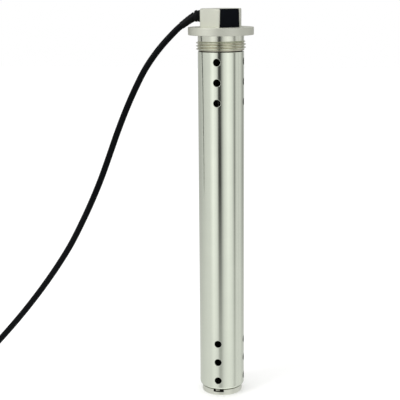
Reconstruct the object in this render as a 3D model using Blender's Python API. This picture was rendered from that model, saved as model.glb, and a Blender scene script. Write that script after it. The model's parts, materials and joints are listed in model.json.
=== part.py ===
"""Sous vide circulator: a screw-in immersion rod with a perforated guard tube, a heater and a pump inside.

Units are metres and +Z is up. The origin is on the tube's axis, at the underside of the foot cap.
The four columns of water holes lie on +X, +Y, -X and -Y.
"""

import math

import bmesh
import bpy
from mathutils import Matrix, Vector

MM = 0.001
GAP = 0.3 * MM

# Guard tube
TUBE_R = 22.225 * MM
TUBE_WALL = 1.5 * MM
TUBE_BOTTOM = 6.6 * MM
TUBE_TOP = 342.9 * MM
TUBE_END_ROUND = 3.0 * MM
LIP_BORE_R = 17.0 * MM
LIP_HEIGHT = 2.0 * MM
HOLE_R = 3.5 * MM
HOLE_PITCH = 19.26 * MM
LOWEST_HOLE = 16.3 * MM
LOWEST_UPPER_HOLE = 295.0 * MM
HOLES_IN_GROUP = 3

# Head plug: hexagon, flange, neck, thread, groove and spigot, from the top down
HEAD_TOP = 383.2 * MM
HEX_FLATS = 38.0 * MM
HEX_TURN = math.radians(6.0)
HEX_CHAMFER_R = 19.6 * MM
FLANGE_TOP = 365.8 * MM
FLANGE_BOTTOM = 358.4 * MM
FLANGE_R = 31.5 * MM
FLANGE_CHAMFER = 0.7 * MM
THREAD_MINOR_R = 22.2 * MM
THREAD_MAJOR_R = 24.0 * MM
THREAD_PITCH = 3.0 * MM
THREAD_TOP = 353.1 * MM
THREAD_ROOT_SHARE = 0.25
THREAD_FLANK_SHARE = 0.625
THREAD_RUN_OUT = 0.35
THREAD_BOTTOM = 343.9 * MM
SPIGOT_R = 20.4 * MM
SPIGOT_BOTTOM = 338.8 * MM
PLUG_BORE_R = 16.5 * MM
PLUG_BORE_TOP = 361.8 * MM
CHAMBER_R = 12.5 * MM
CHAMBER_TOP = 379.4 * MM

# Terminal cover, set in a slot of one hexagon face
COVER_AZIMUTH = HEX_TURN + math.radians(30)
COVER_TOP_WIDTH = 18.9 * MM
COVER_FOOT_WIDTH = 20.3 * MM
COVER_DEPTH = 4.4 * MM
COVER_SLOT_DEPTH = 6.0 * MM
COVER_WINDOW = (12.0 * MM, 10.0 * MM)

# Cord sleeve, in the bore of another hexagon face
CORD_AZIMUTH = HEX_TURN - math.radians(90)
CORD_BORE_Z = 376.2 * MM
CORD_BORE_R = 4.9 * MM
SLEEVE_R = 5.6 * MM
SLEEVE_OUT = 25.4 * MM
SLEEVE_IN = 12.9 * MM
CORD_R = 3.1 * MM

# Foot cap, held by two bayonet lugs behind the tube's lip
CAP_R = 20.0 * MM
CAP_RIM_TOP = TUBE_BOTTOM - GAP
CAP_TOP = 11.0 * MM
CAP_EDGE = 1.1 * MM
CAP_SPIGOT_R = LIP_BORE_R - 0.4 * MM
CAP_BORE_R = 13.4 * MM
CAP_FLOOR = 3.0 * MM
LUG_R = 19.6 * MM
LUG_HALF = math.radians(6)
LUG_SLOT_HALF = math.radians(8)
CAP_TRAVEL = math.radians(17)
CAP_BACK = math.radians(5.5)
STOP_CLEARANCE = math.radians(0.5)
TONGUE_WIDTH = 4.2 * MM
TONGUE_HEIGHT = 2.4 * MM
NOTCH_HEIGHT = 2.9 * MM
NOTCH_WIDTH = 10.2 * MM
TONGUE_INNER_R = 17.4 * MM
TONGUE_OUTER_R = 19.2 * MM
SEAL_GROOVE_R = 15.2 * MM
SEAL_GROOVE_HEIGHT = 1.7 * MM
SEAL_RING_R = 16.1 * MM
SEAL_CORD_R = 0.5 * MM

# Heater
PITCH_R = 11.5 * MM
ELEMENT_R = 3.25 * MM
ELEMENT_BOTTOM = 168.0 * MM
ELEMENT_TOP = 345.0 * MM
PLATE_BOTTOM = 339.0 * MM
PLATE_TOP = 343.0 * MM
PLATE_R = PLUG_BORE_R - GAP
CONDUIT_R = 3.6 * MM
POCKET_R = 2.8 * MM
SPACER_R = 20.3 * MM
SPACER_LEVELS = (200.0 * MM, 276.0 * MM)
SPACER_THICK = 1.2 * MM
PIN_R = 1.2 * MM
PIN_LENGTH = 6.0 * MM
PORT_R = 4.3 * MM
PORT_CENTRE_R = 21.5 * MM
PROBE_POCKET_BOTTOM = 262.0 * MM
PROBE_LENGTH = 22.0 * MM
CUTOUT_POCKET_BOTTOM = 300.0 * MM
CUTOUT_LENGTH = 14.0 * MM

# Pump motor
CAN_R = 15.0 * MM
CAN_WALL = 1.0 * MM
CAN_BOTTOM = 84.0 * MM
CAN_TOP = 150.0 * MM
SEAT_INNER_R = 5.3 * MM
SEAT_OUTER_R = 7.0 * MM
BEARING_R = 5.0 * MM
WINDING_INNER_R = 9.6 * MM
WINDING_OUTER_R = 13.2 * MM
STATOR_BORE_R = 9.0 * MM
STATOR_LENGTH = 28.0 * MM
MAGNET_R = 8.4 * MM
MAGNET_LENGTH = 30.0 * MM
SHAFT_R = 2.0 * MM
SHAFT_TOP = 146.0 * MM
SHAFT_BOTTOM = 56.0 * MM
IMPELLER_TOP = 77.0 * MM
IMPELLER_BOTTOM = 62.0 * MM
IMPELLER_R = 18.6 * MM
IMPELLER_HUB_R = 6.5 * MM
BLADES = 4
BLADE_HALF_REACH = 5.6 * MM
BLADE_HALF_THICK = 0.6 * MM
NUT_CORNER_R = 4.0 * MM
NUT_HEIGHT = 3.5 * MM

# Terminal block under the head's chamber roof, with a screw and a wire for each line
BLOCK_BOTTOM = 364.0 * MM
BLOCK_SIZE = (16.0 * MM, 9.0 * MM, 7.0 * MM)
SCREW_SPACING = 5.0 * MM
SCREW_R = 1.7 * MM
SCREW_HEIGHT = 1.9 * MM
WIRE_R = 0.9 * MM

# Lead: the upright plane that it hangs in, and the coil that it ends in
LEAD_PLANE_TURN = math.radians(10.5)
LEAD_DEPTH = 2.5 * MM
COIL_OUTER_TURN_R = 39.55 * MM
COIL_INNER_TURN_R = 33.25 * MM
COIL_CENTRE = (-316.0 * MM, LEAD_DEPTH + COIL_OUTER_TURN_R)
COIL_LOW = 0.1 * MM
COIL_HIGH = 12.7 * MM
TIE_ANGLE = 100
TIE_HALF_WIDTH = 3.0 * MM
TIE_THICK = 0.9 * MM

# Plug, lying across the coil: lengths along its axis, counted from where the lead enters it
PLUG_TAIL = 20.0 * MM
PLUG_LENGTH = 34.0 * MM
PLUG_WIDTH = 26.0 * MM
PLUG_HEIGHT = 23.6 * MM
BLADE_LENGTH = 17.0 * MM
BLADE_WIDTH = 6.35 * MM
BLADE_THICK = 1.5 * MM
BLADE_SPACING = 12.7 * MM
GROUND_R = 2.4 * MM
GROUND_LENGTH = 20.0 * MM
GROUND_RISE = 11.9 * MM

SEGMENTS = 36


def clear_scene():
    for obj in list(bpy.data.objects):
        bpy.data.objects.remove(obj, do_unlink=True)


def material(name, colour, roughness, metallic=0.0):
    made = bpy.data.materials.new(name)
    made.use_nodes = True
    shader = made.node_tree.nodes["Principled BSDF"]
    shader.inputs["Base Color"].default_value = (*colour, 1.0)
    shader.inputs["Roughness"].default_value = roughness
    shader.inputs["Metallic"].default_value = metallic
    return made


def add(name, mesh, finish=None, smooth=True):
    """A new object at the origin; without a finish it is a hidden cutter or guide."""
    obj = bpy.data.objects.new(name, mesh)
    bpy.context.scene.collection.objects.link(obj)
    if finish is None:
        obj.hide_render = True
        obj.display_type = "WIRE"
        return obj
    mesh.materials.append(finish)
    if smooth and obj.type == "MESH":
        mesh.shade_smooth()
        mesh.set_sharp_from_angle(angle=math.radians(35))
    return obj


def to_mesh(name, bm):
    bmesh.ops.recalc_face_normals(bm, faces=bm.faces)
    mesh = bpy.data.meshes.new(name)
    bm.to_mesh(mesh)
    bm.free()
    return mesh


def ring_of(bm, radius, height, segments, radius_at):
    """A ring of vertices about Z, or one vertex on the axis."""
    if radius < 1e-7:
        return [bm.verts.new((0, 0, height))]
    ring = []
    for i in range(segments):
        angle = 2 * math.pi * i / segments
        r = radius_at(angle, height, radius)
        ring.append(bm.verts.new((r * math.cos(angle), r * math.sin(angle), height)))
    return ring


def lathe(name, outline, segments=SEGMENTS, radius_at=lambda angle, height, radius: radius):
    """Turns a closed (radius, height) outline about Z. One that ends on the axis makes a full solid."""
    bm = bmesh.new()
    rings = [ring_of(bm, r, z, segments, radius_at) for r, z in outline]
    pairs = list(zip(rings, rings[1:] + rings[:1]))
    for a, b in pairs:
        for i in range(segments):
            j = (i + 1) % segments
            corners = [a[i % len(a)], a[j % len(a)], b[j % len(b)], b[i % len(b)]]
            corners = list(dict.fromkeys(corners))
            if len(corners) > 2:
                bm.faces.new(corners)
    return to_mesh(name, bm)


def along(azimuth, height=0.0):
    """Placement that turns +Z to point outwards at an azimuth counted from -Y towards +X."""
    outward = Vector((math.sin(azimuth), -math.cos(azimuth), 0))
    return Matrix.Translation((0, 0, height)) @ outward.to_track_quat("Z", "Y").to_matrix().to_4x4()


def face_place(azimuth):
    """Axes of an upright face: local X across it, local Y outwards, local Z up."""
    return Matrix.Rotation(azimuth, 4, "Z") @ Matrix.Diagonal((1, -1, 1, 1))


def prism(name, outline, low, high, place=None):
    """Extrudes a flat (x, y) outline from low to high along Z."""
    bm = bmesh.new()
    base = [bm.verts.new((x, y, low)) for x, y in outline]
    top = [bm.verts.new((x, y, high)) for x, y in outline]
    bm.faces.new(base)
    bm.faces.new(top)
    for i, vertex in enumerate(base):
        j = (i + 1) % len(base)
        bm.faces.new((vertex, base[j], top[j], top[i]))
    if place:
        bm.transform(place)
    return to_mesh(name, bm)


def box_mesh(name, low, high, place=None):
    (x0, y0, z0), (x1, y1, z1) = low, high
    return prism(name, [(x0, y0), (x1, y0), (x1, y1), (x0, y1)], z0, z1, place)


def cylinder_mesh(name, radius, low, high, centre=(0, 0), segments=10):
    outline = []
    for i in range(segments):
        angle = 2 * math.pi * (i + 0.5) / segments
        outline.append((centre[0] + radius * math.cos(angle), centre[1] + radius * math.sin(angle)))
    return prism(name, outline, low, high)


def boolean(obj, other, operation="DIFFERENCE"):
    modifier = obj.modifiers.new(f"{operation.lower()}_{other.name}", "BOOLEAN")
    modifier.operation = operation
    modifier.object = other
    modifier.solver = "EXACT"


def bevel(obj, width, segments=2, angle=40):
    modifier = obj.modifiers.new("bevel", "BEVEL")
    modifier.width = width
    modifier.segments = segments
    modifier.limit_method = "ANGLE"
    modifier.angle_limit = math.radians(angle)


def polar(radius, degrees):
    angle = math.radians(degrees)
    return (radius * math.cos(angle), radius * math.sin(angle))


def smooth_path(route, step):
    """Points about one step apart on a Catmull-Rom curve through the route."""
    knots = [Vector(p) for p in route]
    knots = [2 * knots[0] - knots[1]] + knots + [2 * knots[-1] - knots[-2]]
    fine = []
    for a, b, c, d in zip(knots, knots[1:], knots[2:], knots[3:]):
        for k in range(16):
            t = k / 16
            bend = (2 * a - 5 * b + 4 * c - d) * t**2 + (3 * b - a - 3 * c + d) * t**3
            fine.append(0.5 * (2 * b + (c - a) * t + bend))
    fine.append(knots[-2])
    lengths = [0.0]
    for a, b in zip(fine, fine[1:]):
        lengths.append(lengths[-1] + (b - a).length)
    count = max(2, round(lengths[-1] / step))
    path = []
    k = 0
    for i in range(count + 1):
        reach = lengths[-1] * i / count
        while k < len(fine) - 2 and lengths[k + 1] < reach:
            k += 1
        share = (reach - lengths[k]) / (lengths[k + 1] - lengths[k])
        path.append(fine[k].lerp(fine[k + 1], min(share, 1.0)))
    return path


def tube(name, path, radius, finish, rings=2):
    """A round rod or cord along a list of points, with closed ends."""
    curve = bpy.data.curves.new(name, "CURVE")
    curve.dimensions = "3D"
    curve.bevel_depth = radius
    curve.bevel_resolution = rings
    curve.use_fill_caps = True
    spline = curve.splines.new("POLY")
    spline.points.add(len(path) - 1)
    for point, place in zip(spline.points, path):
        point.co = (*place, 1.0)
    return add(name, curve, finish)


clear_scene()
STEEL = material("brushed_steel", (0.72, 0.73, 0.68), 0.3, 1.0)
HEAD_STEEL = material("machined_steel", (0.68, 0.69, 0.64), 0.4, 1.0)
BLACK_PLASTIC = material("black_plastic", (0.02, 0.02, 0.025), 0.35)
BLACK_RUBBER = material("black_rubber", (0.03, 0.03, 0.03), 0.55)
CORD_JACKET = material("cord_jacket", (0.02, 0.02, 0.02), 0.4)
HEATER_STEEL = material("heater_sheath", (0.36, 0.37, 0.36), 0.45, 1.0)
CERAMIC = material("white_ceramic", (0.85, 0.84, 0.8), 0.5)
BRASS = material("brass", (0.78, 0.6, 0.28), 0.3, 1.0)
COPPER = material("copper_winding", (0.72, 0.35, 0.16), 0.4, 1.0)
IRON = material("laminated_iron", (0.3, 0.3, 0.31), 0.55, 1.0)
MAGNET = material("ferrite", (0.12, 0.12, 0.13), 0.5)
IMPELLER_PLASTIC = material("impeller_plastic", (0.08, 0.08, 0.09), 0.45)
SEAL_RUBBER = material("seal_rubber", (0.04, 0.03, 0.03), 0.6)
WIRE_BROWN = material("wire_brown", (0.25, 0.1, 0.05), 0.45)
WIRE_BLUE = material("wire_blue", (0.05, 0.15, 0.5), 0.45)
WIRE_GREEN = material("wire_green", (0.1, 0.4, 0.08), 0.45)


def thread_radius(angle, height, radius):
    """Right-hand helical thread between its two levels, running out over a third of a turn at each end."""
    if not THREAD_BOTTOM < height < THREAD_TOP or radius < THREAD_MINOR_R - GAP:
        return radius
    phase = (height / THREAD_PITCH - angle / (2 * math.pi)) % 1.0
    flank = 1 - abs(2 * phase - 1)
    tooth = min(1.0, max(0.0, (flank - THREAD_ROOT_SHARE) / THREAD_FLANK_SHARE))
    run_out = min(height - THREAD_BOTTOM, THREAD_TOP - height) / (THREAD_PITCH * THREAD_RUN_OUT)
    return THREAD_MINOR_R + (THREAD_MAJOR_R - THREAD_MINOR_R) * tooth * min(1.0, run_out)


def head_outline():
    rows = 18
    c = FLANGE_CHAMFER
    outline = [(0, SPIGOT_BOTTOM), (SPIGOT_R, SPIGOT_BOTTOM), (SPIGOT_R, THREAD_BOTTOM)]
    for i in range(rows + 1):
        outline.append((THREAD_MINOR_R, THREAD_BOTTOM + (THREAD_TOP - THREAD_BOTTOM) * i / rows))
    outline += [(THREAD_MINOR_R, FLANGE_BOTTOM), (FLANGE_R - c, FLANGE_BOTTOM)]
    outline += [(FLANGE_R, FLANGE_BOTTOM + c), (FLANGE_R, FLANGE_TOP - c)]
    outline += [(FLANGE_R - c, FLANGE_TOP), (0, FLANGE_TOP)]
    return outline


def cover_outline(margin=0.0):
    """The cover's face seen from outside: (across, height) corners, wider at the foot."""
    low = FLANGE_TOP + GAP - margin
    high = HEAD_TOP + 10 * margin
    top = COVER_TOP_WIDTH / 2 + margin
    foot = COVER_FOOT_WIDTH / 2 + margin
    return [(-foot, low), (foot, low), (top, high), (-top, high)]


def cover_mesh(name, margin, inner, outer):
    """The cover's tapered outline, extruded outwards between two distances from the axis."""
    place = Matrix.Rotation(COVER_AZIMUTH, 4, "Z") @ Matrix.Rotation(math.radians(90), 4, "X")
    return prism(name, cover_outline(margin), inner, outer, place)


def hexagon():
    side = HEX_FLATS / math.sqrt(3)
    outline = []
    for i in range(6):
        angle = HEX_TURN - math.pi / 2 + math.radians(60 * i)
        outline.append((side * math.cos(angle), side * math.sin(angle)))
    body = add("hexagon_stock", prism("hexagon_stock", outline, FLANGE_TOP - 2 * MM, HEAD_TOP))
    bevel(body, 0.7 * MM, 2, 50)
    drop = (side - HEX_CHAMFER_R) * math.tan(math.radians(30))
    cone = [
        (0, FLANGE_TOP - 3 * MM),
        (side + MM, FLANGE_TOP - 3 * MM),
        (side + MM, HEAD_TOP - drop - 0.58 * MM),
        (HEX_CHAMFER_R, HEAD_TOP),
        (HEX_CHAMFER_R - MM, HEAD_TOP + MM),
        (0, HEAD_TOP + MM),
    ]
    boolean(body, add("hexagon_chamfer", lathe("hexagon_chamfer", cone)), "INTERSECT")
    return body


def make_head():
    plug = add("head_plug", lathe("head_plug", head_outline(), SEGMENTS, thread_radius), HEAD_STEEL)
    boolean(plug, hexagon(), "UNION")
    hollow = [
        (0, SPIGOT_BOTTOM - MM),
        (PLUG_BORE_R, SPIGOT_BOTTOM - MM),
        (PLUG_BORE_R, PLUG_BORE_TOP),
        (CHAMBER_R, PLUG_BORE_TOP),
        (CHAMBER_R, CHAMBER_TOP),
        (0, CHAMBER_TOP),
    ]
    boolean(plug, add("plug_hollow", lathe("plug_hollow", hollow, 32)))
    flat = HEX_FLATS / 2
    boolean(plug, add("cover_slot", cover_mesh("cover_slot", GAP, flat - COVER_SLOT_DEPTH, flat + 6 * MM)))
    across, tall = COVER_WINDOW
    middle = (FLANGE_TOP + HEAD_TOP) / 2
    window = box_mesh(
        "cover_window",
        (-across / 2, 0, middle - tall / 2),
        (across / 2, flat, middle + tall / 2),
        face_place(COVER_AZIMUTH),
    )
    boolean(plug, add("cover_window", window))
    bore_r = CORD_BORE_R + GAP
    bore = lathe("cord_bore", [(0, 8 * MM), (bore_r, 8 * MM), (bore_r, 30 * MM), (0, 30 * MM)], 24)
    bore.transform(along(CORD_AZIMUTH, CORD_BORE_Z))
    boolean(plug, add("cord_bore", bore))

    cover = add("terminal_cover", cover_mesh("terminal_cover", 0, flat - COVER_DEPTH, flat), BLACK_PLASTIC)
    bevel(cover, 0.5 * MM)
    make_gasket(flat)


def make_gasket(flat):
    """Flat frame between the cover and the floor of its slot."""
    inner = flat - COVER_SLOT_DEPTH + GAP
    outer = flat - COVER_DEPTH - GAP
    gasket = add("cover_gasket", cover_mesh("cover_gasket", -0.4 * MM, inner, outer), SEAL_RUBBER)
    across, tall = COVER_WINDOW
    middle = (FLANGE_TOP + HEAD_TOP) / 2
    opening = box_mesh(
        "gasket_opening",
        (-across / 2, 0, middle - tall / 2),
        (across / 2, flat, middle + tall / 2),
        face_place(COVER_AZIMUTH),
    )
    boolean(gasket, add("gasket_opening", opening))


def sector(name, inner, outer, low, high, middle, half, steps=4):
    """A block between two radii and two levels, about Z, that spans twice the angle half."""
    outline = []
    for i in range(steps + 1):
        outline.append(polar(outer, math.degrees(middle - half + 2 * half * i / steps)))
    for i in range(steps + 1):
        outline.append(polar(inner, math.degrees(middle + half - 2 * half * i / steps)))
    return prism(name, outline, low, high)


def make_guard_tube():
    inner = TUBE_R - TUBE_WALL
    lip_top = TUBE_BOTTOM + LIP_HEIGHT
    outline = [(inner, TUBE_TOP), (inner, lip_top), (LIP_BORE_R, lip_top), (LIP_BORE_R, TUBE_BOTTOM)]
    for i in range(5):
        angle = math.radians(-90 + 22.5 * i)
        out = TUBE_R - TUBE_END_ROUND + TUBE_END_ROUND * math.cos(angle)
        up = TUBE_BOTTOM + TUBE_END_ROUND + TUBE_END_ROUND * math.sin(angle)
        outline.append((out, up))
    outline.append((TUBE_R, TUBE_TOP))
    guard = add("guard_tube", lathe("guard_tube", outline, 48), STEEL)
    for group in (LOWEST_HOLE, LOWEST_UPPER_HOLE):
        for i in range(HOLES_IN_GROUP):
            level = group + i * HOLE_PITCH
            for direction, turn in (("x", 0), ("y", 90)):
                name = f"water_hole_{direction}_{round(level / MM)}"
                drill = cylinder_mesh(name, HOLE_R, -TUBE_R - MM, TUBE_R + MM, segments=12)
                drill.transform(Matrix.Translation((0, 0, level)) @ along(math.radians(turn)))
                boolean(guard, add(name, drill))
    for side, front in (("front", -90), ("rear", 90)):
        middle = math.radians(front) - tongue_shift()
        half = TONGUE_WIDTH / 2 / TONGUE_OUTER_R
        name = f"tongue_{side}"
        low = TUBE_BOTTOM - TONGUE_HEIGHT
        block = sector(name, TONGUE_INNER_R, TONGUE_OUTER_R, low, TUBE_BOTTOM + MM, middle, half)
        boolean(guard, add(name, block), "UNION")
    for side, right in (("right", 0), ("left", 180)):
        name = f"lug_slot_{side}"
        middle = math.radians(right) - CAP_TRAVEL + CAP_BACK
        low = TUBE_BOTTOM - MM
        slot = sector(name, LIP_BORE_R - MM, LUG_R + 0.5 * MM, low, lip_top + MM, middle, LUG_SLOT_HALF)
        boolean(guard, add(name, slot))


def tongue_shift():
    """Angle by which each tongue sits clockwise of the middle of its notch, with the cap a little off its stop."""
    spare = (NOTCH_WIDTH - TONGUE_WIDTH) / 2 / TONGUE_OUTER_R
    return spare - STOP_CLEARANCE - CAP_BACK


def make_foot_cap():
    outline = [(0, 0), (CAP_R - CAP_EDGE, 0)]
    for i in range(1, 4):
        across, up = polar(CAP_EDGE, -90 + 30 * i)
        outline.append((CAP_R - CAP_EDGE + across, CAP_EDGE + up))
    groove_low = CAP_RIM_TOP + 0.35 * MM
    groove_high = groove_low + SEAL_GROOVE_HEIGHT
    outline += [(CAP_R, CAP_RIM_TOP), (CAP_SPIGOT_R, CAP_RIM_TOP), (CAP_SPIGOT_R, groove_low)]
    outline += [(SEAL_GROOVE_R, groove_low), (SEAL_GROOVE_R, groove_high), (CAP_SPIGOT_R, groove_high)]
    outline += [(CAP_SPIGOT_R, CAP_TOP), (CAP_BORE_R, CAP_TOP), (CAP_BORE_R, CAP_FLOOR), (0, CAP_FLOOR)]
    cap = add("foot_cap", lathe("foot_cap", outline), STEEL)
    for side, front in (("front", -90), ("rear", 90)):
        name = f"notch_{side}"
        half = NOTCH_WIDTH / 2 / TONGUE_OUTER_R
        low = CAP_RIM_TOP - NOTCH_HEIGHT
        high = CAP_RIM_TOP + 0.2 * MM
        notch = sector(name, TONGUE_INNER_R - GAP, CAP_R + MM, low, high, math.radians(front), half)
        boolean(cap, add(name, notch))
    for side, right in (("right", 0), ("left", 180)):
        name = f"lug_{side}"
        low = TUBE_BOTTOM + LIP_HEIGHT + GAP
        lug = sector(name, CAP_SPIGOT_R - MM, LUG_R, low, CAP_TOP - 0.2 * MM, math.radians(right), LUG_HALF)
        boolean(cap, add(name, lug), "UNION")
    torus("foot_seal", SEAL_RING_R, SEAL_CORD_R, (groove_low + groove_high) / 2, SEAL_RUBBER)


def torus(name, major, minor, level, finish, segments=24, sides=6):
    outline = []
    for i in range(sides):
        x, z = polar(minor, 360 * i / sides)
        outline.append((major + x, level + z))
    return add(name, lathe(name, outline, segments), finish)


def turned(name, outline, finish, segments=24, place=None):
    mesh = lathe(name, outline, segments)
    if place:
        mesh.transform(place)
    return add(name, mesh, finish)


def rod_outline(radius, low, high, chamfer=0.0):
    if not chamfer:
        return [(0, low), (radius, low), (radius, high), (0, high)]
    return [
        (0, low),
        (radius - chamfer, low),
        (radius, low + chamfer),
        (radius, high - chamfer),
        (radius - chamfer, high),
        (0, high),
    ]


def ring_outline(inner, outer, low, high):
    return [(inner, low), (outer, low), (outer, high), (inner, high)]


def leg_places():
    """The four heater legs stand on one pitch circle."""
    return [polar(PITCH_R, 45 + 90 * i) for i in range(4)]


def pocket_places():
    return [polar(PITCH_R, 0), polar(PITCH_R, 180)]


def drill_legs(obj, low, high, clearance):
    """Bores for the heater legs, the conduit and the two pockets."""
    bores = [(place, ELEMENT_R) for place in leg_places()]
    bores += [(place, POCKET_R) for place in pocket_places()]
    bores.append(((0, 0), CONDUIT_R))
    for i, (place, radius) in enumerate(bores):
        name = f"{obj.name}_bore_{i + 1}"
        boolean(obj, add(name, cylinder_mesh(name, radius + clearance, low - MM, high + MM, place)))


def make_heater():
    plate = turned("element_plate", rod_outline(PLATE_R, PLATE_BOTTOM, PLATE_TOP, 0.4 * MM), HEAD_STEEL)
    drill_legs(plate, PLATE_BOTTOM, PLATE_TOP, GAP)
    x, y = leg_places()[0]
    bend = []
    for i in range(11):
        across, drop = polar(x, 18 * i)
        bend.append((across, ELEMENT_BOTTOM + x - drop))
    for name, side in (("heater_hairpin_rear", y), ("heater_hairpin_front", -y)):
        quarter_up = 0.25 * ELEMENT_TOP + 0.75 * ELEMENT_BOTTOM
        path = [(x, side, ELEMENT_TOP), (x, side, quarter_up)]
        path += [(across, side, level) for across, level in bend]
        path += [(-x, side, quarter_up), (-x, side, ELEMENT_TOP)]
        tube(name, path, ELEMENT_R, HEATER_STEEL)
    for i, (px, py) in enumerate(leg_places()):
        place = Matrix.Translation((px, py, 0))
        outline = rod_outline(PIN_R, ELEMENT_TOP + GAP, ELEMENT_TOP + PIN_LENGTH, 0.3 * MM)
        turned(f"heater_pin_{i + 1}", outline, BRASS, 12, place)
    for i, level in enumerate(SPACER_LEVELS):
        disc = rod_outline(SPACER_R, level, level + SPACER_THICK)
        spacer = turned(f"element_spacer_{i + 1}", disc, STEEL, 24)
        drill_legs(spacer, level, level + SPACER_THICK, GAP)
        for k in range(4):
            name = f"spacer_{i + 1}_port_{k + 1}"
            place = polar(PORT_CENTRE_R, 90 * k)
            port = cylinder_mesh(name, PORT_R, level - MM, level + 2 * MM, place, 12)
            boolean(spacer, add(name, port))
    probe, cutout = pocket_places()
    make_pocket("probe_pocket", probe, PROBE_POCKET_BOTTOM, "temperature_sensor", PROBE_LENGTH, BRASS)
    make_pocket("cutout_pocket", cutout, CUTOUT_POCKET_BOTTOM, "thermal_cutout", CUTOUT_LENGTH, CERAMIC)
    conduit = ring_outline(CONDUIT_R - 0.6 * MM, CONDUIT_R, CAN_TOP + 0.7 * MM, ELEMENT_TOP)
    turned("wire_conduit", conduit, STEEL, 16)


def make_pocket(name, centre, low, content, length, finish):
    """A thin blind tube in the heater plate, with the sensor or cutout that it holds."""
    r = POCKET_R
    wall = 0.5 * MM
    outline = [(0, low), (r - MM, low), (r, low + MM), (r, ELEMENT_TOP)]
    outline += [(r - wall, ELEMENT_TOP), (r - wall, low + MM), (0, low + MM)]
    place = Matrix.Translation((*centre, 0))
    turned(name, outline, STEEL, 16, place)
    fill = rod_outline(r - wall - GAP, low + 1.4 * MM, low + length, 0.4 * MM)
    turned(content, fill, finish, 12, place)


def make_motor():
    bore = CAN_R - CAN_WALL
    floor = CAN_BOTTOM + 2 * MM
    seal_low = CAN_BOTTOM + 1.2 * MM
    seat_top = CAN_BOTTOM + 7 * MM
    shaft_way = SHAFT_R + 0.6 * MM
    outline = [(shaft_way, CAN_BOTTOM), (CAN_R - 2 * MM, CAN_BOTTOM), (CAN_R, floor), (CAN_R, CAN_TOP)]
    outline += [(bore, CAN_TOP), (bore, floor), (SEAT_OUTER_R, floor), (SEAT_OUTER_R, seat_top)]
    outline += [(SEAT_INNER_R, seat_top), (SEAT_INNER_R, seal_low), (shaft_way, seal_low)]
    turned("motor_can", outline, STEEL)
    lid_low = CAN_TOP - 5 * MM
    make_lid(bore, lid_low)
    level = (CAN_BOTTOM + CAN_TOP) / 2
    make_stator(level, bore)
    for name, low in (("winding_lower", level - 19 * MM), ("winding_upper", level + 14.3 * MM)):
        turned(name, ring_outline(WINDING_INNER_R, WINDING_OUTER_R, low, low + 4.7 * MM), COPPER)
    for name, low in (("bearing_lower", CAN_BOTTOM + 3.4 * MM), ("bearing_upper", lid_low - 2.2 * MM)):
        turned(name, ring_outline(SHAFT_R + 0.05 * MM, BEARING_R, low, low + 3.2 * MM), BRASS)
    lip = SHAFT_R + 0.06 * MM
    seal = [(lip, CAN_BOTTOM + 1.5 * MM), (BEARING_R, CAN_BOTTOM + 1.5 * MM), (BEARING_R, CAN_BOTTOM + 3.1 * MM)]
    seal += [(3.4 * MM, CAN_BOTTOM + 2.3 * MM), (lip, CAN_BOTTOM + 3.1 * MM)]
    turned("shaft_seal", seal, SEAL_RUBBER)
    for name, low in (("motor_spider_lower", CAN_BOTTOM + 4 * MM), ("motor_spider_upper", CAN_TOP - 8 * MM)):
        make_spider(name, low)


def make_lid(bore, low):
    """The can's lid, with the upper bearing's seat under it and a way for the motor's wires."""
    seat_low = low - 3 * MM
    seat_top = CAN_TOP - 3 * MM
    rim = CAN_TOP + 1.3 * MM
    web = CAN_TOP + 0.4 * MM
    collar = CONDUIT_R + GAP
    outline = [(0, seat_top), (SEAT_INNER_R, seat_top), (SEAT_INNER_R, seat_low), (SEAT_OUTER_R, seat_low)]
    outline += [(SEAT_OUTER_R, low), (bore - GAP, low), (bore - GAP, CAN_TOP + GAP), (CAN_R, CAN_TOP + GAP)]
    outline += [(CAN_R, rim), (collar, rim), (collar, web), (0, web)]
    lid = turned("motor_lid", outline, STEEL)
    way = cylinder_mesh("lid_wire_way", MM, low - MM, CAN_TOP + MM, (2.2 * MM, 0))
    boolean(lid, add("lid_wire_way", way))


def make_stator(level, bore):
    """The laminated core, with six winding slots open to the rotor."""
    half = STATOR_LENGTH / 2
    stator = turned("stator_core", ring_outline(STATOR_BORE_R, bore - GAP, level - half, level + half), IRON)
    for k in range(6):
        name = f"stator_slot_{k + 1}"
        corner = (STATOR_BORE_R - MM, -1.6 * MM, level - half - 2 * MM)
        slot = box_mesh(name, corner, (12 * MM, 1.6 * MM, level + half + 2 * MM))
        slot.transform(Matrix.Rotation(math.radians(60 * k), 4, "Z"))
        boolean(stator, add(name, slot))


def make_spider(name, low):
    """A ring round the motor can, with three arms that reach the guard tube."""
    high = low + 5 * MM
    ring = turned(name, ring_outline(CAN_R + GAP, CAN_R + 1.5 * MM, low, high), STEEL, 36)
    for k in range(3):
        arm_name = f"{name}_arm_{k + 1}"
        near = (CAN_R + 0.8 * MM, -0.8 * MM, low + 0.2 * MM)
        far = (TUBE_R - TUBE_WALL - GAP, 0.8 * MM, high - 0.2 * MM)
        arm = box_mesh(arm_name, near, far)
        arm.transform(Matrix.Rotation(math.radians(45 + 120 * k), 4, "Z"))
        boolean(ring, add(arm_name, arm), "UNION")


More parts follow.
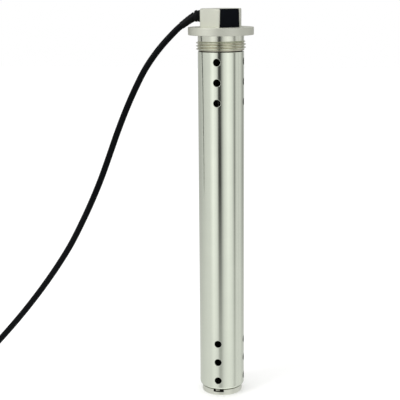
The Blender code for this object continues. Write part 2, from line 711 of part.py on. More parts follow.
def blade(name, turn):
    """One pump blade: a plate that twists as it leaves the hub."""
    bm = bmesh.new()
    rows = []
    middle = (IMPELLER_BOTTOM + IMPELLER_TOP) / 2
    for i in range(5):
        radius = IMPELLER_HUB_R - MM + (IMPELLER_R - IMPELLER_HUB_R + MM) * i / 4
        lean = math.radians(30 + 8 * i)
        row = []
        for along_blade, through in ((-1, -1), (1, -1), (1, 1), (-1, 1)):
            reach = along_blade * BLADE_HALF_REACH
            thick = through * BLADE_HALF_THICK
            across = reach * math.sin(lean) - thick * math.cos(lean)
            up = reach * math.cos(lean) + thick * math.sin(lean)
            angle = turn + across / radius
            row.append(bm.verts.new((radius * math.cos(angle), radius * math.sin(angle), middle + up)))
        rows.append(row)
    for a, b in zip(rows, rows[1:]):
        for i in range(4):
            j = (i + 1) % 4
            bm.faces.new((a[i], a[j], b[j], b[i]))
    bm.faces.new(rows[0])
    bm.faces.new(rows[-1])
    return add(name, to_mesh(name, bm))


def make_rotor():
    level = (CAN_BOTTOM + CAN_TOP) / 2
    turned("motor_shaft", rod_outline(SHAFT_R, SHAFT_BOTTOM, SHAFT_TOP, 0.3 * MM), STEEL)
    inner = SHAFT_R + GAP
    half = MAGNET_LENGTH / 2
    turned("rotor_magnet", ring_outline(inner, MAGNET_R, level - half, level + half), MAGNET)
    edge = 1.5 * MM
    hub = [(inner, IMPELLER_BOTTOM), (IMPELLER_HUB_R - edge, IMPELLER_BOTTOM)]
    hub += [(IMPELLER_HUB_R, IMPELLER_BOTTOM + edge), (IMPELLER_HUB_R, IMPELLER_TOP), (inner, IMPELLER_TOP)]
    impeller = turned("impeller", hub, IMPELLER_PLASTIC)
    for k in range(BLADES):
        boolean(impeller, blade(f"impeller_blade_{k + 1}", math.radians(360 / BLADES * k)), "UNION")
    corners = [polar(NUT_CORNER_R, 60 * k) for k in range(6)]
    nut_low = IMPELLER_BOTTOM - NUT_HEIGHT
    nut = add("impeller_nut", prism("impeller_nut", corners, nut_low, IMPELLER_BOTTOM - GAP), BRASS)
    nut_bore = cylinder_mesh("nut_bore", inner, nut_low - 2.5 * MM, IMPELLER_BOTTOM + MM)
    boolean(nut, add("nut_bore", nut_bore))


def make_head_inside():
    low = BLOCK_BOTTOM
    wide, deep, tall = BLOCK_SIZE
    turn = Matrix.Rotation(COVER_AZIMUTH, 4, "Z")
    block = box_mesh("terminal_block", (-wide / 2, -deep / 2, low), (wide / 2, deep / 2, low + tall), turn)
    bevel(add("terminal_block", block, CERAMIC), 0.5 * MM)
    wires = (("live", WIRE_BROWN), ("neutral", WIRE_BLUE), ("earth", WIRE_GREEN))
    for k, (name, finish) in enumerate(wires):
        x = (k - 1) * SCREW_SPACING
        head = rod_outline(SCREW_R, low + tall + GAP, low + tall + GAP + SCREW_HEIGHT, 0.3 * MM)
        turned(f"terminal_screw_{k + 1}", head, BRASS, 12, turn @ Matrix.Translation((x, 0, 0)))
        start = turn @ Vector((x, 0, low - GAP - 0.1 * MM))
        direction = 216 - 90 * k
        end = Vector((*polar(6.0 * MM, direction), ELEMENT_TOP + 2.0 * MM))
        middle = (start + end) / 2 + Vector((*polar(1.5 * MM, direction), 0))
        tube(f"{name}_wire", smooth_path([start, middle, end], 3.0 * MM), WIRE_R, finish, 1)
    clamp = ring_outline(CORD_R + GAP, CORD_BORE_R, 10.2 * MM, SLEEVE_IN - GAP)
    turned("cord_clamp", clamp, STEEL, 24, along(CORD_AZIMUTH, CORD_BORE_Z))


def make_sleeve():
    flat = HEX_FLATS / 2
    outline = [
        (0, SLEEVE_IN),
        (CORD_BORE_R, SLEEVE_IN),
        (CORD_BORE_R, flat + GAP),
        (SLEEVE_R, flat + GAP),
        (SLEEVE_R, SLEEVE_OUT - 2.2 * MM),
        (SLEEVE_R - MM, SLEEVE_OUT),
        (0, SLEEVE_OUT),
    ]
    turned("cord_sleeve", outline, BLACK_RUBBER, 24, along(CORD_AZIMUTH, CORD_BORE_Z))


def in_lead_plane(out, level, depth=LEAD_DEPTH):
    """World place of a point in the lead's upright plane: out from the axis, depth behind it, and up."""
    c = math.cos(LEAD_PLANE_TURN)
    s = math.sin(LEAD_PLANE_TURN)
    return Vector((out * c - depth * s, out * s + depth * c, level))


# The lead's route from the sleeve to the coil: (out from the axis, up), in mm
LEAD_ROUTE = (
    (-27.5, 374.4),
    (-34.0, 369.8),
    (-42.6, 363.0),
    (-58.5, 346.2),
    (-72.2, 327.5),
    (-83.2, 307.0),
    (-93.0, 285.6),
    (-101.9, 263.6),
    (-110.2, 241.2),
    (-118.8, 218.6),
    (-128.5, 196.2),
    (-139.2, 174.0),
    (-150.9, 151.9),
    (-164.3, 130.7),
    (-178.9, 110.0),
    (-194.5, 89.7),
    (-210.9, 70.0),
    (-228.0, 50.8),
    (-245.0, 32.5),
    (-260.0, 18.8),
    (-275.0, 8.9),
    (-291.5, 3.5),
)


def coil_place(degrees, radius, level):
    """A point of the coil, by its angle about the coil's centre in the lead's plane."""
    x, y = polar(radius, degrees)
    return in_lead_plane(COIL_CENTRE[0] + x, level, COIL_CENTRE[1] + y)


# The lead's last stretch, from the coil's top into the plug: (angle, radius, level), in degrees and mm
TAIL_ROUTE = (
    (54, 39.5, 16.2),
    (33, 39.5, 16.2),
    (12, 39.5, 16.3),
    (-9, 39.5, 16.6),
    (-26, 38.7, 17.6),
    (-44, 36.3, 19.3),
    (-62, 32.6, 21.4),
    (-83, 27.7, 23.5),
    (-107, 22.3, 24.8),
    (-118, 20.2, 25.0),
)


def make_lead():
    make_sleeve()
    route = [in_lead_plane(out * MM, level * MM) for out, level in LEAD_ROUTE]
    tube("mains_cord", smooth_path(route, 13 * MM), CORD_R, CORD_JACKET, 2)
    centre = in_lead_plane(COIL_CENTRE[0], 0, COIL_CENTRE[1])
    inner = COIL_INNER_TURN_R - CORD_R
    outer = COIL_OUTER_TURN_R + CORD_R
    r = 2.4 * MM
    outline = [(inner, COIL_LOW + r), (inner + r, COIL_LOW), (outer - r, COIL_LOW), (outer, COIL_LOW + r)]
    outline += [(outer, COIL_HIGH - r), (outer - r, COIL_HIGH), (inner + r, COIL_HIGH), (inner, COIL_HIGH - r)]
    turned("cord_coil", outline, CORD_JACKET, 32, Matrix.Translation(centre))
    tail = [coil_place(angle, radius * MM, level * MM) for angle, radius, level in TAIL_ROUTE]
    path = smooth_path(tail, 13 * MM)
    tube("cord_tail", path, CORD_R, CORD_JACKET, 2)
    make_tie()
    make_plug(path[-1], path[-1] - path[-2])


def make_tie():
    """A band over the coil's bundle of turns, across its top and down both sides."""
    inner = COIL_INNER_TURN_R - CORD_R - GAP
    outer = COIL_OUTER_TURN_R + CORD_R + GAP
    high = COIL_HIGH + GAP
    outline = [(inner - TIE_THICK, COIL_LOW), (inner, COIL_LOW), (inner, high), (outer, high)]
    outline += [(outer, COIL_LOW), (outer + TIE_THICK, COIL_LOW), (outer + TIE_THICK, high + TIE_THICK)]
    outline += [(inner - TIE_THICK, high + TIE_THICK)]
    upright = Matrix.Rotation(math.radians(90), 4, "X")
    band = prism("coil_tie", outline, -TIE_HALF_WIDTH, TIE_HALF_WIDTH, upright)
    centre = in_lead_plane(COIL_CENTRE[0], 0, COIL_CENTRE[1])
    turn = Matrix.Rotation(LEAD_PLANE_TURN + math.radians(TIE_ANGLE), 4, "Z")
    band.transform(Matrix.Translation(centre) @ turn)
    add("coil_tie", band, BLACK_RUBBER)


def make_plug(start, heading):
    """A moulded three-pin plug with flat live and neutral blades and a round earth pin."""
    turn = math.atan2(heading.y, heading.x)
    place = Matrix.Translation(start) @ Matrix.Rotation(turn, 4, "Z")
    lengthwise = place @ Matrix.Rotation(math.radians(90), 4, "Y")
    tail = [(0, GAP), (4.2 * MM, GAP), (7.0 * MM, PLUG_TAIL), (0, PLUG_TAIL)]
    turned("plug_strain_relief", tail, BLACK_RUBBER, 16, lengthwise)
    face = PLUG_TAIL + PLUG_LENGTH
    half = PLUG_WIDTH / 2
    side = PLUG_TAIL + GAP
    outline = [(side, -8 * MM), (side + 10 * MM, -half), (face, -half)]
    outline += [(face, half), (side + 10 * MM, half), (side, 8 * MM)]
    body = prism("plug_body", outline, -PLUG_HEIGHT / 2, PLUG_HEIGHT / 2, place)
    bevel(add("plug_body", body, BLACK_PLASTIC), 2.5 * MM, 2, 30)
    low = -GROUND_RISE / 2
    start = face + GAP
    for name, side in (("plug_blade_live", -1), ("plug_blade_neutral", 1)):
        middle = side * BLADE_SPACING / 2
        near = (start, middle - BLADE_THICK / 2, low - BLADE_WIDTH / 2)
        far = (start + BLADE_LENGTH, middle + BLADE_THICK / 2, low + BLADE_WIDTH / 2)
        bevel(add(name, box_mesh(name, near, far, place), BRASS), 0.3 * MM, 1)
    pin = rod_outline(GROUND_R, start, start + GROUND_LENGTH, 0.8 * MM)
    raised = place @ Matrix.Translation((0, 0, -low)) @ Matrix.Rotation(math.radians(90), 4, "Y")
    turned("plug_earth_pin", pin, BRASS, 16, raised)


def main():
    make_head()
    make_guard_tube()
    make_foot_cap()
    make_heater()
    make_motor()
    make_rotor()
    make_head_inside()
    make_lead()


main()
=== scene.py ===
"""Looks of a screw-in sous vide circulator: polished guard tube, turned head plug, black lead and plug."""

import json
import math

import bmesh
import bpy
from mathutils import Matrix, Vector


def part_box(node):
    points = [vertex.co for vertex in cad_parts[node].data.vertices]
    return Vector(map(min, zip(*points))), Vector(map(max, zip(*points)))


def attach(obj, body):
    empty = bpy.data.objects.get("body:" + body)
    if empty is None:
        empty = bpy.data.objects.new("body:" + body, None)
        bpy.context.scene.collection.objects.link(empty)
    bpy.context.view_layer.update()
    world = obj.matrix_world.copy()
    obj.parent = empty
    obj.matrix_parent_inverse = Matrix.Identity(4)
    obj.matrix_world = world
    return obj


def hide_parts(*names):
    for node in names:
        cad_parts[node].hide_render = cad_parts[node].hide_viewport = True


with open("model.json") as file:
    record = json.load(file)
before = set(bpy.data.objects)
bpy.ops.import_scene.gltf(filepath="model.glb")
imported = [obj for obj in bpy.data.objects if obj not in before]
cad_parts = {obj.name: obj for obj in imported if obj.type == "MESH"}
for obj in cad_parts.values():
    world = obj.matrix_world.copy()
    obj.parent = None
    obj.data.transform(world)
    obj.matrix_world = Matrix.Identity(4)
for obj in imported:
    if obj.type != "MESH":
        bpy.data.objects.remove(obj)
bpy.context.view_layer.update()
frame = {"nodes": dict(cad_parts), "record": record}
nodes = frame["nodes"]

MM = 0.001
GAP = 0.3 * MM
CREASE = math.radians(38)
tube_low, tube_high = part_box("guard_tube")
head_low, head_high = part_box("head_plug")

# Guard tube; lengths are in metres here and below
TUBE_R = tube_high.x
TUBE_TOP = tube_high.z
TUBE_INNER_R = TUBE_R - 1.5 * MM
TUBE_BOTTOM = 6.6 * MM
END_ROUND = 3.0 * MM
LIP_BORE_R = 17.0 * MM
LIP_TOP = TUBE_BOTTOM + 2.0 * MM
SHELL_FOOT_R = 20.2 * MM
HOLE_R = 3.5 * MM
HOLE_EDGE = 0.35 * MM
HOLE_PITCH = 19.26 * MM
LOWEST_HOLES = (16.3 * MM, 295.0 * MM)
HOLES_IN_GROUP = 3
CELL = 6.5 * MM
CELL_STEPS = 8
STRIP_STEPS = 12
ROW_STEP = 6.0 * MM
TOP_EDGE = 0.5 * MM

# Head plug
HEAD_TOP = head_high.z
HEX_FLAT = 19.0 * MM
HEX_TURN = math.radians(6)
HEX_CORNER_R = 1.3 * MM
HEX_CHAMFER_R = 19.6 * MM
FLANGE_R = head_high.x
FLANGE_TOP = 365.8 * MM
FLANGE_BOTTOM = 358.4 * MM
THREAD_MINOR_R = 22.2 * MM
THREAD_MAJOR_R = 24.0 * MM
THREAD_PITCH = 3.0 * MM
THREAD_TOP = 353.1 * MM
THREAD_BOTTOM = 343.9 * MM
# Root and flank as shares of half a pitch, how far the flank is eased, run-out as a share of a pitch
THREAD_ROOT = 0.25
THREAD_FLANK = 0.625
THREAD_SOFTNESS = 0.35
THREAD_RUN_OUT = 0.35
GROOVE_R = 20.4 * MM
PLUG_BORE_R = 16.5 * MM
PLUG_BORE_TOP = 361.8 * MM
CHAMBER_R = 12.5 * MM
CHAMBER_TOP = 379.4 * MM
COVER_TOP_WIDTH = 18.9 * MM
COVER_FOOT_WIDTH = 20.3 * MM
COVER_DEPTH = 4.4 * MM
COVER_SLOT_DEPTH = 6.0 * MM
PANEL_BORDER = 2.3 * MM
PANEL_SLOPE = 0.35 * MM
PANEL_DEPTH = 0.55 * MM
WINDOW_HALF_WIDTH = 6.0 * MM
WINDOW_LEVELS = (369.5 * MM, 379.5 * MM)
COVER_AZIMUTH = HEX_TURN + math.radians(30)
CORD_AZIMUTH = HEX_TURN - math.radians(90)
CORD_BORE_Z = 376.2 * MM
CORD_BORE_R = 4.9 * MM
SLEEVE_R = 5.6 * MM
SLEEVE_IN = 12.9 * MM
SLEEVE_OUT = 25.4 * MM
SLEEVE_TAIL = 14.0 * MM
SLEEVE_STEP = 0.7 * MM

# Foot cap
CAP_R = 20.0 * MM
CAP_RIM_TOP = 6.3 * MM
CAP_TOP = 11.0 * MM
CAP_SPIGOT_R = 16.6 * MM
CAP_BORE_R = 13.4 * MM
CAP_FLOOR = 3.0 * MM
SEAL_GROOVE_R = 15.2 * MM
SEAL_GROOVE_LEVELS = (6.65 * MM, 8.35 * MM)
LUG_R = 19.6 * MM
LUG_HALF = math.radians(6)
LUG_SLOT_HALF = math.radians(8)
TONGUE_WIDTH = 4.2 * MM
NOTCH_WIDTH = 10.2 * MM
NOTCH_HEIGHT = 2.9 * MM
TONGUE_RADII = (17.4 * MM, 19.2 * MM)
CAP_TRAVEL_DEGREES = 17
CAP_BACK = math.radians(5.5)
STOP_CLEARANCE = math.radians(0.5)

# Lead
CORD_R = 3.1 * MM
VIEW_TURN = math.radians(10.5)
LEAD_DEPTH = 2.5 * MM
COIL_OUTER_R = 39.55 * MM
COIL_INNER_R = 33.25 * MM
COIL_CENTRE = (-316.0 * MM, LEAD_DEPTH + COIL_OUTER_R)
LAYERS = (3.2 * MM, 9.4 * MM, 16.2 * MM)
TIE_DEGREES = 100.0
TIE_THICK = 0.9 * MM
TIE_HALF_WIDTH = 3.0 * MM
PATH_STEP = 3.2 * MM
TAIL_STEP = 13 * MM
CURVE_STEPS = 16

# Plug: distances along it start at the end of the lead
PLUG_TAIL = 20.0 * MM
PLUG_FACE = 54.0 * MM
PLUG_HALF_WIDTH = 13.0 * MM
PLUG_HALF_HEIGHT = 11.8 * MM
BLADE_SPACING = 12.7 * MM
PIN_OFFSET = 5.95 * MM


# ---- camera, light and floor


VIEW_REACH = 0.9916
VIEW_HEIGHT = 0.4061
LENS = 92.34
VIEW_HEADING = math.radians(11.727)
VIEW_DROP = math.radians(11.895)
VIEW_ROLL = math.radians(-0.469)


def make_camera():
    camera = link("camera", bpy.data.cameras.new("camera"))
    camera.data.lens = LENS
    camera.data.clip_start = 0.01
    camera.location = (VIEW_REACH * math.sin(VIEW_TURN), -VIEW_REACH * math.cos(VIEW_TURN), VIEW_HEIGHT)
    heading = Matrix.Rotation(VIEW_HEADING, 4, "Z")
    pitch = Matrix.Rotation(math.pi / 2 - VIEW_DROP, 4, "X")
    roll = Matrix.Rotation(VIEW_ROLL, 4, "Z")
    camera.rotation_euler = (heading @ pitch @ roll).to_euler()
    bpy.context.scene.camera = camera


def make_floor():
    mesh = bpy.data.meshes.new("floor")
    side = 4.0
    corners = [(-side, -side, 0), (side, -side, 0), (side, side, 0), (-side, side, 0)]
    mesh.from_pydata(corners, [], [(0, 1, 2, 3)])
    floor = link("floor", mesh)
    paint, shader = new_material("floor_paint")
    feed(shader, Base_Color=(0.93, 0.93, 0.925, 1), Roughness=0.8, Specular_IOR_Level=0.1,
         Emission_Color=(1, 1, 1, 1), Emission_Strength=0.12)
    mesh.materials.append(paint)
    floor.visible_glossy = False


def make_world():
    scene = bpy.context.scene
    scene.view_settings.view_transform = "Standard"
    scene.world = bpy.data.worlds.new("studio")
    scene.world.use_nodes = True
    feed(scene.world.node_tree.nodes["Background"], Color=(1, 1, 1, 1), Strength=1.0)


def make_lamp():
    lamp = bpy.data.lights.new("soft_box", "AREA")
    lamp.shape = "DISK"
    lamp.size = 0.5
    lamp.energy = 5.0
    soft_box = link("soft_box", lamp)
    soft_box.location = (-0.75, -0.85, 1.1)
    aim = Vector((-0.05, 0, 0.2)) - soft_box.location
    soft_box.rotation_euler = aim.to_track_quat("-Z", "Y").to_euler()


TENT_R = 0.13
TENT_BOTTOM = -0.15
TENT_TOP = 0.62
# The light cards: (how far across the tube the card shows, from -1 to 1, and how bright it is)
CARDS = (
    (-1.0, 0.55), (-0.92, 0.46), (-0.80, 0.57), (-0.62, 0.69), (-0.50, 0.73), (-0.36, 1.0), (-0.24, 0.86),
    (-0.165, 0.62), (-0.115, 0.06), (-0.03, 0.05), (0.04, 0.42), (0.12, 0.74), (0.30, 1.0), (0.44, 0.86),
    (0.51, 0.68), (0.575, 0.20), (0.625, 0.56), (0.68, 0.72), (0.75, 0.62), (0.81, 0.72), (0.87, 0.55),
    (0.92, 0.33), (0.97, 0.5), (1.0, 0.7),
)


def card_azimuth(across):
    """Azimuth on the tent, in the range 0 to 1, that the tube mirrors at this place across its width."""
    turn = math.asin(across)
    azimuth = 2 * turn - math.asin(TUBE_R / TENT_R * across)
    return 0.5 + azimuth / (2 * math.pi)


def make_tent():
    """An open cylinder of light cards that only reflections see."""
    rows = (TENT_BOTTOM, TENT_TOP)
    rings = [[polar3(TENT_R, math.radians(360 * i / 96), z) for i in range(96)] for z in rows]
    tent = link("light_tent", surface(rings))
    tent.rotation_euler.z = VIEW_TURN
    paint = bpy.data.materials.new("light_cards")
    paint.use_nodes = True
    tree = paint.node_tree
    tree.nodes.clear()
    axes = object_axes(tree)
    back = math_node(tree, "MULTIPLY", axes["Y"], -1.0)
    angle = math_node(tree, "ARCTAN2", axes["X"], back)
    turn = math_node(tree, "MULTIPLY", angle, 1 / (2 * math.pi))
    ramp = node(tree, "ShaderNodeValToRGB", Fac=math_node(tree, "ADD", turn, 0.5))
    stops = ramp.color_ramp.elements
    for across, level in CARDS:
        spot = stops.new(card_azimuth(across))
        spot.color = (level, level, level, 1)
    stops.remove(stops[0])
    stops.remove(stops[-1])
    fade = ranged(tree, axes["Z"], 0.40, 1.0, -0.02, 0.20)
    blend = mix_node(tree, "RGBA", fade, (0.74, 0.74, 0.74, 1), ramp.outputs["Color"])
    glow = node(tree, "ShaderNodeEmission", Color=blend)
    node(tree, "ShaderNodeOutputMaterial", Surface=glow.outputs["Emission"])
    tent.data.materials.append(paint)
    tent.visible_camera = False
    tent.visible_diffuse = False
    tent.visible_shadow = False
    tent.visible_transmission = False


# ---- materials


def new_material(name):
    made = bpy.data.materials.new(name)
    made.use_nodes = True
    return made, made.node_tree.nodes["Principled BSDF"]


def node(tree, kind, **inputs):
    made = tree.nodes.new(kind)
    feed(made, **inputs)
    return made


def feed(made, **inputs):
    """Links or sets a node's inputs, named with _ for each space."""
    for name, source in inputs.items():
        socket = made.inputs[name.replace("_", " ")]
        if isinstance(source, bpy.types.NodeSocket):
            made.id_data.links.new(source, socket)
        else:
            socket.default_value = source


def math_node(tree, operation, first, second=0.0):
    made = node(tree, "ShaderNodeMath")
    made.operation = operation
    tree.links.new(first, made.inputs[0])
    if isinstance(second, float):
        made.inputs[1].default_value = second
    else:
        tree.links.new(second, made.inputs[1])
    return made.outputs["Value"]


def mix_node(tree, kind, factor, first, second):
    made = node(tree, "ShaderNodeMix")
    made.data_type = kind
    feed(made, Factor=factor, A=first, B=second)
    return made.outputs["Result"]


def noise_of(tree, stretch, scale):
    """A noise in the object's own coordinates, stretched along its axes."""
    coords = node(tree, "ShaderNodeTexCoord")
    mapping = node(tree, "ShaderNodeMapping", Vector=coords.outputs["Object"], Scale=stretch)
    made = node(tree, "ShaderNodeTexNoise", Vector=mapping.outputs["Vector"], Scale=scale, Detail=3.0)
    return made.outputs["Fac"]


def ranged(tree, source, low, high, start=0.3, end=0.7):
    spans = dict(From_Min=start, From_Max=end, To_Min=low, To_Max=high)
    return node(tree, "ShaderNodeMapRange", Value=source, **spans).outputs["Result"]


def finish(name, colour, roughness, metallic=0.0, tint=0.12, wander=0.05, patch=60.0, grain=1500.0,
           stretch=(1, 1, 1), bump=0.1, depth=0.03, waves=None, **sockets):
    """A material with patches of colour, a wandering roughness and a fine grain; waves are (pitch, depth)."""
    made, shader = new_material(name)
    tree = made.node_tree
    fine = noise_of(tree, stretch, grain)
    patches = math_node(tree, "MULTIPLY", noise_of(tree, (1, 1, 1), patch), 0.6)
    mixed = math_node(tree, "ADD", patches, math_node(tree, "MULTIPLY", fine, 0.4))
    dark = (*[c * (1 - tint) for c in colour], 1)
    light = (*[min(1.0, c * (1 + tint)) for c in colour], 1)
    shade = mix_node(tree, "RGBA", ranged(tree, mixed, 0.0, 1.0), dark, light)
    spread = ranged(tree, mixed, roughness - wander, roughness + wander)
    bumped = node(tree, "ShaderNodeBump", Height=fine, Strength=bump, Distance=depth * MM)
    if waves:
        pitch, wave_depth = waves
        coords = node(tree, "ShaderNodeTexCoord")
        wave = node(tree, "ShaderNodeTexWave", Vector=coords.outputs["Object"], Scale=0.314 / pitch)
        wave.bands_direction = "Z"
        ridge = node(tree, "ShaderNodeBump", Height=wave.outputs["Fac"], Strength=1.0, Distance=wave_depth)
        feed(bumped, Normal=ridge.outputs["Normal"])
    feed(shader, Base_Color=shade, Roughness=spread, Metallic=metallic, **sockets)
    feed(shader, Normal=bumped.outputs["Normal"])
    return made


def round_z(made):
    """Runs a metal's grain round the Z axis, so that it smears reflections up and down only."""
    tree = made.node_tree
    tangent = tree.nodes.new("ShaderNodeTangent")
    tangent.direction_type = "RADIAL"
    tangent.axis = "Z"
    shader = tree.nodes["Principled BSDF"]
    tree.links.new(tangent.outputs["Tangent"], shader.inputs["Tangent"])
    return made


def object_axes(tree):
    coords = node(tree, "ShaderNodeTexCoord")
    return node(tree, "ShaderNodeSeparateXYZ", Vector=coords.outputs["Object"]).outputs


def height_mask(made, start, end, about=0.0):
    """0 to 1 between two distances from a level, in the object's own coordinates."""
    tree = made.node_tree
    above = math_node(tree, "SUBTRACT", object_axes(tree)["Z"], about)
    return ranged(tree, math_node(tree, "ABSOLUTE", above), 0.0, 1.0, start, end)


def radius_mask(made, start, end):
    """0 to 1 between two distances from the Z axis, in the object's own coordinates."""
    tree = made.node_tree
    axes = object_axes(tree)
    squares = [math_node(tree, "MULTIPLY", axes[a], axes[a]) for a in "XY"]
    return ranged(tree, math_node(tree, "SQRT", math_node(tree, "ADD", *squares)), 0.0, 1.0, start, end)


def either(made, first, second):
    return math_node(made.node_tree, "MAXIMUM", first, second)


def blend_in(made, mask, colour, roughness):
    """Gives the material this colour and roughness where the mask is 0."""
    tree = made.node_tree
    shader = tree.nodes["Principled BSDF"]
    for socket, kind, value in (("Base Color", "RGBA", (*colour, 1)), ("Roughness", "FLOAT", roughness)):
        own = shader.inputs[socket].links[0].from_socket
        tree.links.new(mix_node(tree, kind, mask, value, own), shader.inputs[socket])


RINGS_ROUND_Z = (0.02, 0.02, 1.0)
LOOKS = {
    "guard_steel": ((0.82, 0.865, 0.745), 0.15, 1.0, dict(
        tint=0.03, wander=0.03, patch=45.0, grain=2600.0, stretch=RINGS_ROUND_Z, bump=0.12, depth=0.01,
        Anisotropic=0.9, Anisotropic_Rotation=0.25)),
    "cap_steel": ((0.79, 0.81, 0.71), 0.32, 1.0, dict(
        tint=0.06, wander=0.06, patch=90.0, grain=1800.0, stretch=RINGS_ROUND_Z)),
    "head_steel": ((0.72, 0.73, 0.645), 0.6, 1.0, dict(tint=0.05, patch=120.0, grain=2200.0, bump=0.2)),
    "inner_steel": ((0.25, 0.26, 0.25), 0.42, 1.0, dict(stretch=RINGS_ROUND_Z)),
    "heater_sheath": ((0.12, 0.115, 0.10), 0.48, 1.0, dict(tint=0.25, wander=0.08, patch=90.0)),
    "blade_metal": ((0.82, 0.66, 0.36), 0.26, 1.0, dict(tint=0.08, wander=0.06, patch=150.0, grain=2500.0)),
    "terminal_brass": ((0.78, 0.58, 0.25), 0.32, 1.0, {}),
    "bearing_bronze": ((0.62, 0.40, 0.20), 0.4, 1.0, dict(tint=0.15)),
    "copper_winding": ((0.72, 0.30, 0.12), 0.32, 1.0, dict(tint=0.2, waves=(0.5 * MM, 0.15 * MM))),
    "laminated_iron": ((0.30, 0.30, 0.31), 0.5, 1.0, dict(tint=0.2, waves=(0.6 * MM, 0.08 * MM))),
    "ferrite": ((0.075, 0.075, 0.08), 0.55, 0.0, dict(tint=0.25, grain=3000.0)),
    "cover_plastic": ((0.0018, 0.0026, 0.0045), 0.32, 0.0, dict(
        tint=0.3, wander=0.06, patch=140.0, grain=4200.0, bump=0.18, Specular_IOR_Level=0.05)),
    "plug_plastic": ((0.006, 0.006, 0.007), 0.42, 0.0, dict(
        tint=0.3, wander=0.06, patch=100.0, grain=3600.0, bump=0.3, Specular_IOR_Level=0.2)),
    "impeller_plastic": ((0.055, 0.056, 0.06), 0.42, 0.0, dict(tint=0.25)),
    "ceramic": ((0.78, 0.76, 0.70), 0.42, 0.0, dict(tint=0.06)),
    "seal_rubber": ((0.045, 0.02, 0.018), 0.6, 0.0, dict(tint=0.3)),
    "sleeve_rubber": ((0.002, 0.0024, 0.003), 0.36, 0.0, dict(
        tint=0.3, wander=0.08, patch=120.0, grain=3000.0, bump=0.35, Specular_IOR_Level=0.1)),
    "tie_rubber": ((0.010, 0.010, 0.011), 0.62, 0.0, dict(
        tint=0.3, patch=150.0, grain=1600.0, bump=0.6, depth=0.1, Specular_IOR_Level=0.2)),
    "cord_jacket": ((0.0012, 0.0018, 0.0024), 0.26, 0.0, dict(
        tint=0.3, wander=0.06, patch=70.0, grain=2400.0, bump=0.05, Specular_IOR_Level=0.07)),
    "wire_brown": ((0.20, 0.075, 0.03), 0.42, 0.0, {}),
    "wire_blue": ((0.03, 0.10, 0.42), 0.42, 0.0, {}),
    "wire_green": ((0.07, 0.32, 0.05), 0.42, 0.0, {}),
}


def make_finishes():
    finishes = {}
    for name, (colour, roughness, metallic, more) in LOOKS.items():
        finishes[name] = finish(name, colour, roughness, metallic, **more)
    paint_guard_shade(round_z(finishes["guard_steel"]))
    paint_cap_shade(finishes["cap_steel"])
    finish_and_shade_head(finishes["head_steel"])
    return finishes


def paint_guard_shade(guard):
    """Painted shade: dark inside the tube and its holes, and a darker, duller band along the foot's edge and
    on the tongues.
    """
    # Painted shade: near black on the inner wall and the holes' walls, above the foot
    wall = radius_mask(guard, TUBE_R - 0.45 * MM, TUBE_R - 0.1 * MM)
    foot = height_mask(guard, TUBE_BOTTOM + 3.6 * MM, TUBE_BOTTOM + END_ROUND)
    blend_in(guard, either(guard, wall, foot), (0.06, 0.065, 0.06), 0.5)
    # Painted shadow: a darker olive band round the seam at the tube's foot
    blend_in(guard, height_mask(guard, 0.3 * MM, 0.9 * MM, TUBE_BOTTOM), (0.30, 0.32, 0.24), 0.4)
    # Painted shade: everything below the cap's rim top, the tongues, is painted darker and duller
    tongues = height_mask(guard, CAP_RIM_TOP - 0.2 * MM, CAP_RIM_TOP + 0.2 * MM)
    blend_in(guard, tongues, (0.42, 0.43, 0.36), 0.5)


def paint_cap_shade(cap):
    """Painted shade: dark inside the notches and on the inner faces, a darker, duller band at the rim's top.
    """
    # Painted shade: near black on every face inside the rim above the notches' floor
    side = radius_mask(cap, CAP_R - 0.9 * MM, CAP_R - 0.4 * MM)
    base = height_mask(cap, CAP_RIM_TOP - NOTCH_HEIGHT, CAP_RIM_TOP - NOTCH_HEIGHT - GAP)
    blend_in(cap, either(cap, side, base), (0.05, 0.05, 0.045), 0.5)
    # Painted shadow: a darker olive band along the rim's top, at the seam under the tube
    blend_in(cap, height_mask(cap, 0.3 * MM, 0.8 * MM, CAP_RIM_TOP), (0.30, 0.32, 0.24), 0.4)


def finish_and_shade_head(head):
    """Polished below the flange; painted shade darkens the thread's roots, which are also duller, and the
    groove under the thread.
    """
    blend_in(head, height_mask(head, FLANGE_BOTTOM - 0.4 * MM, FLANGE_BOTTOM), (0.78, 0.80, 0.69), 0.17)
    # Painted shade: the thread's roots are painted darker; their higher roughness is the finish
    crest = radius_mask(head, THREAD_MINOR_R + 0.2 * MM, THREAD_MAJOR_R - 0.7 * MM)
    above = height_mask(head, THREAD_TOP - 0.5 * MM, THREAD_TOP)
    blend_in(head, either(head, crest, above), (0.64, 0.63, 0.51), 0.3)
    # Painted shade: near black in the groove under the thread and on everything below it
    groove = height_mask(head, THREAD_BOTTOM - 0.1 * MM, THREAD_BOTTOM + 0.1 * MM)
    blend_in(head, groove, (0.06, 0.05, 0.035), 0.5)


# ---- mesh tools


def polar3(radius, angle, height):
    return Vector((radius * math.cos(angle), radius * math.sin(angle), height))


def link(name, source, smooth=True):
    """A linked object from a bmesh or from an object's data."""
    if isinstance(source, bmesh.types.BMesh):
        bmesh.ops.recalc_face_normals(source, faces=source.faces)
        data = bpy.data.meshes.new(name)
        source.to_mesh(data)
        source.free()
        if smooth:
            data.shade_smooth()
            data.set_sharp_from_angle(angle=CREASE)
    else:
        data = source
    obj = bpy.data.objects.new(name, data)
    bpy.context.scene.collection.objects.link(obj)
    return obj


REPLACED = set()


def dress(obj, slot, body, *replaced):
    """Gives a piece its finish, its body, its slot and the nodes that it stands for."""
    obj.data.materials.clear()
    obj.data.materials.append(FINISHES[slot])
    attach(obj, body)
    if replaced:
        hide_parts(*replaced)
        REPLACED.update(replaced)
    return obj


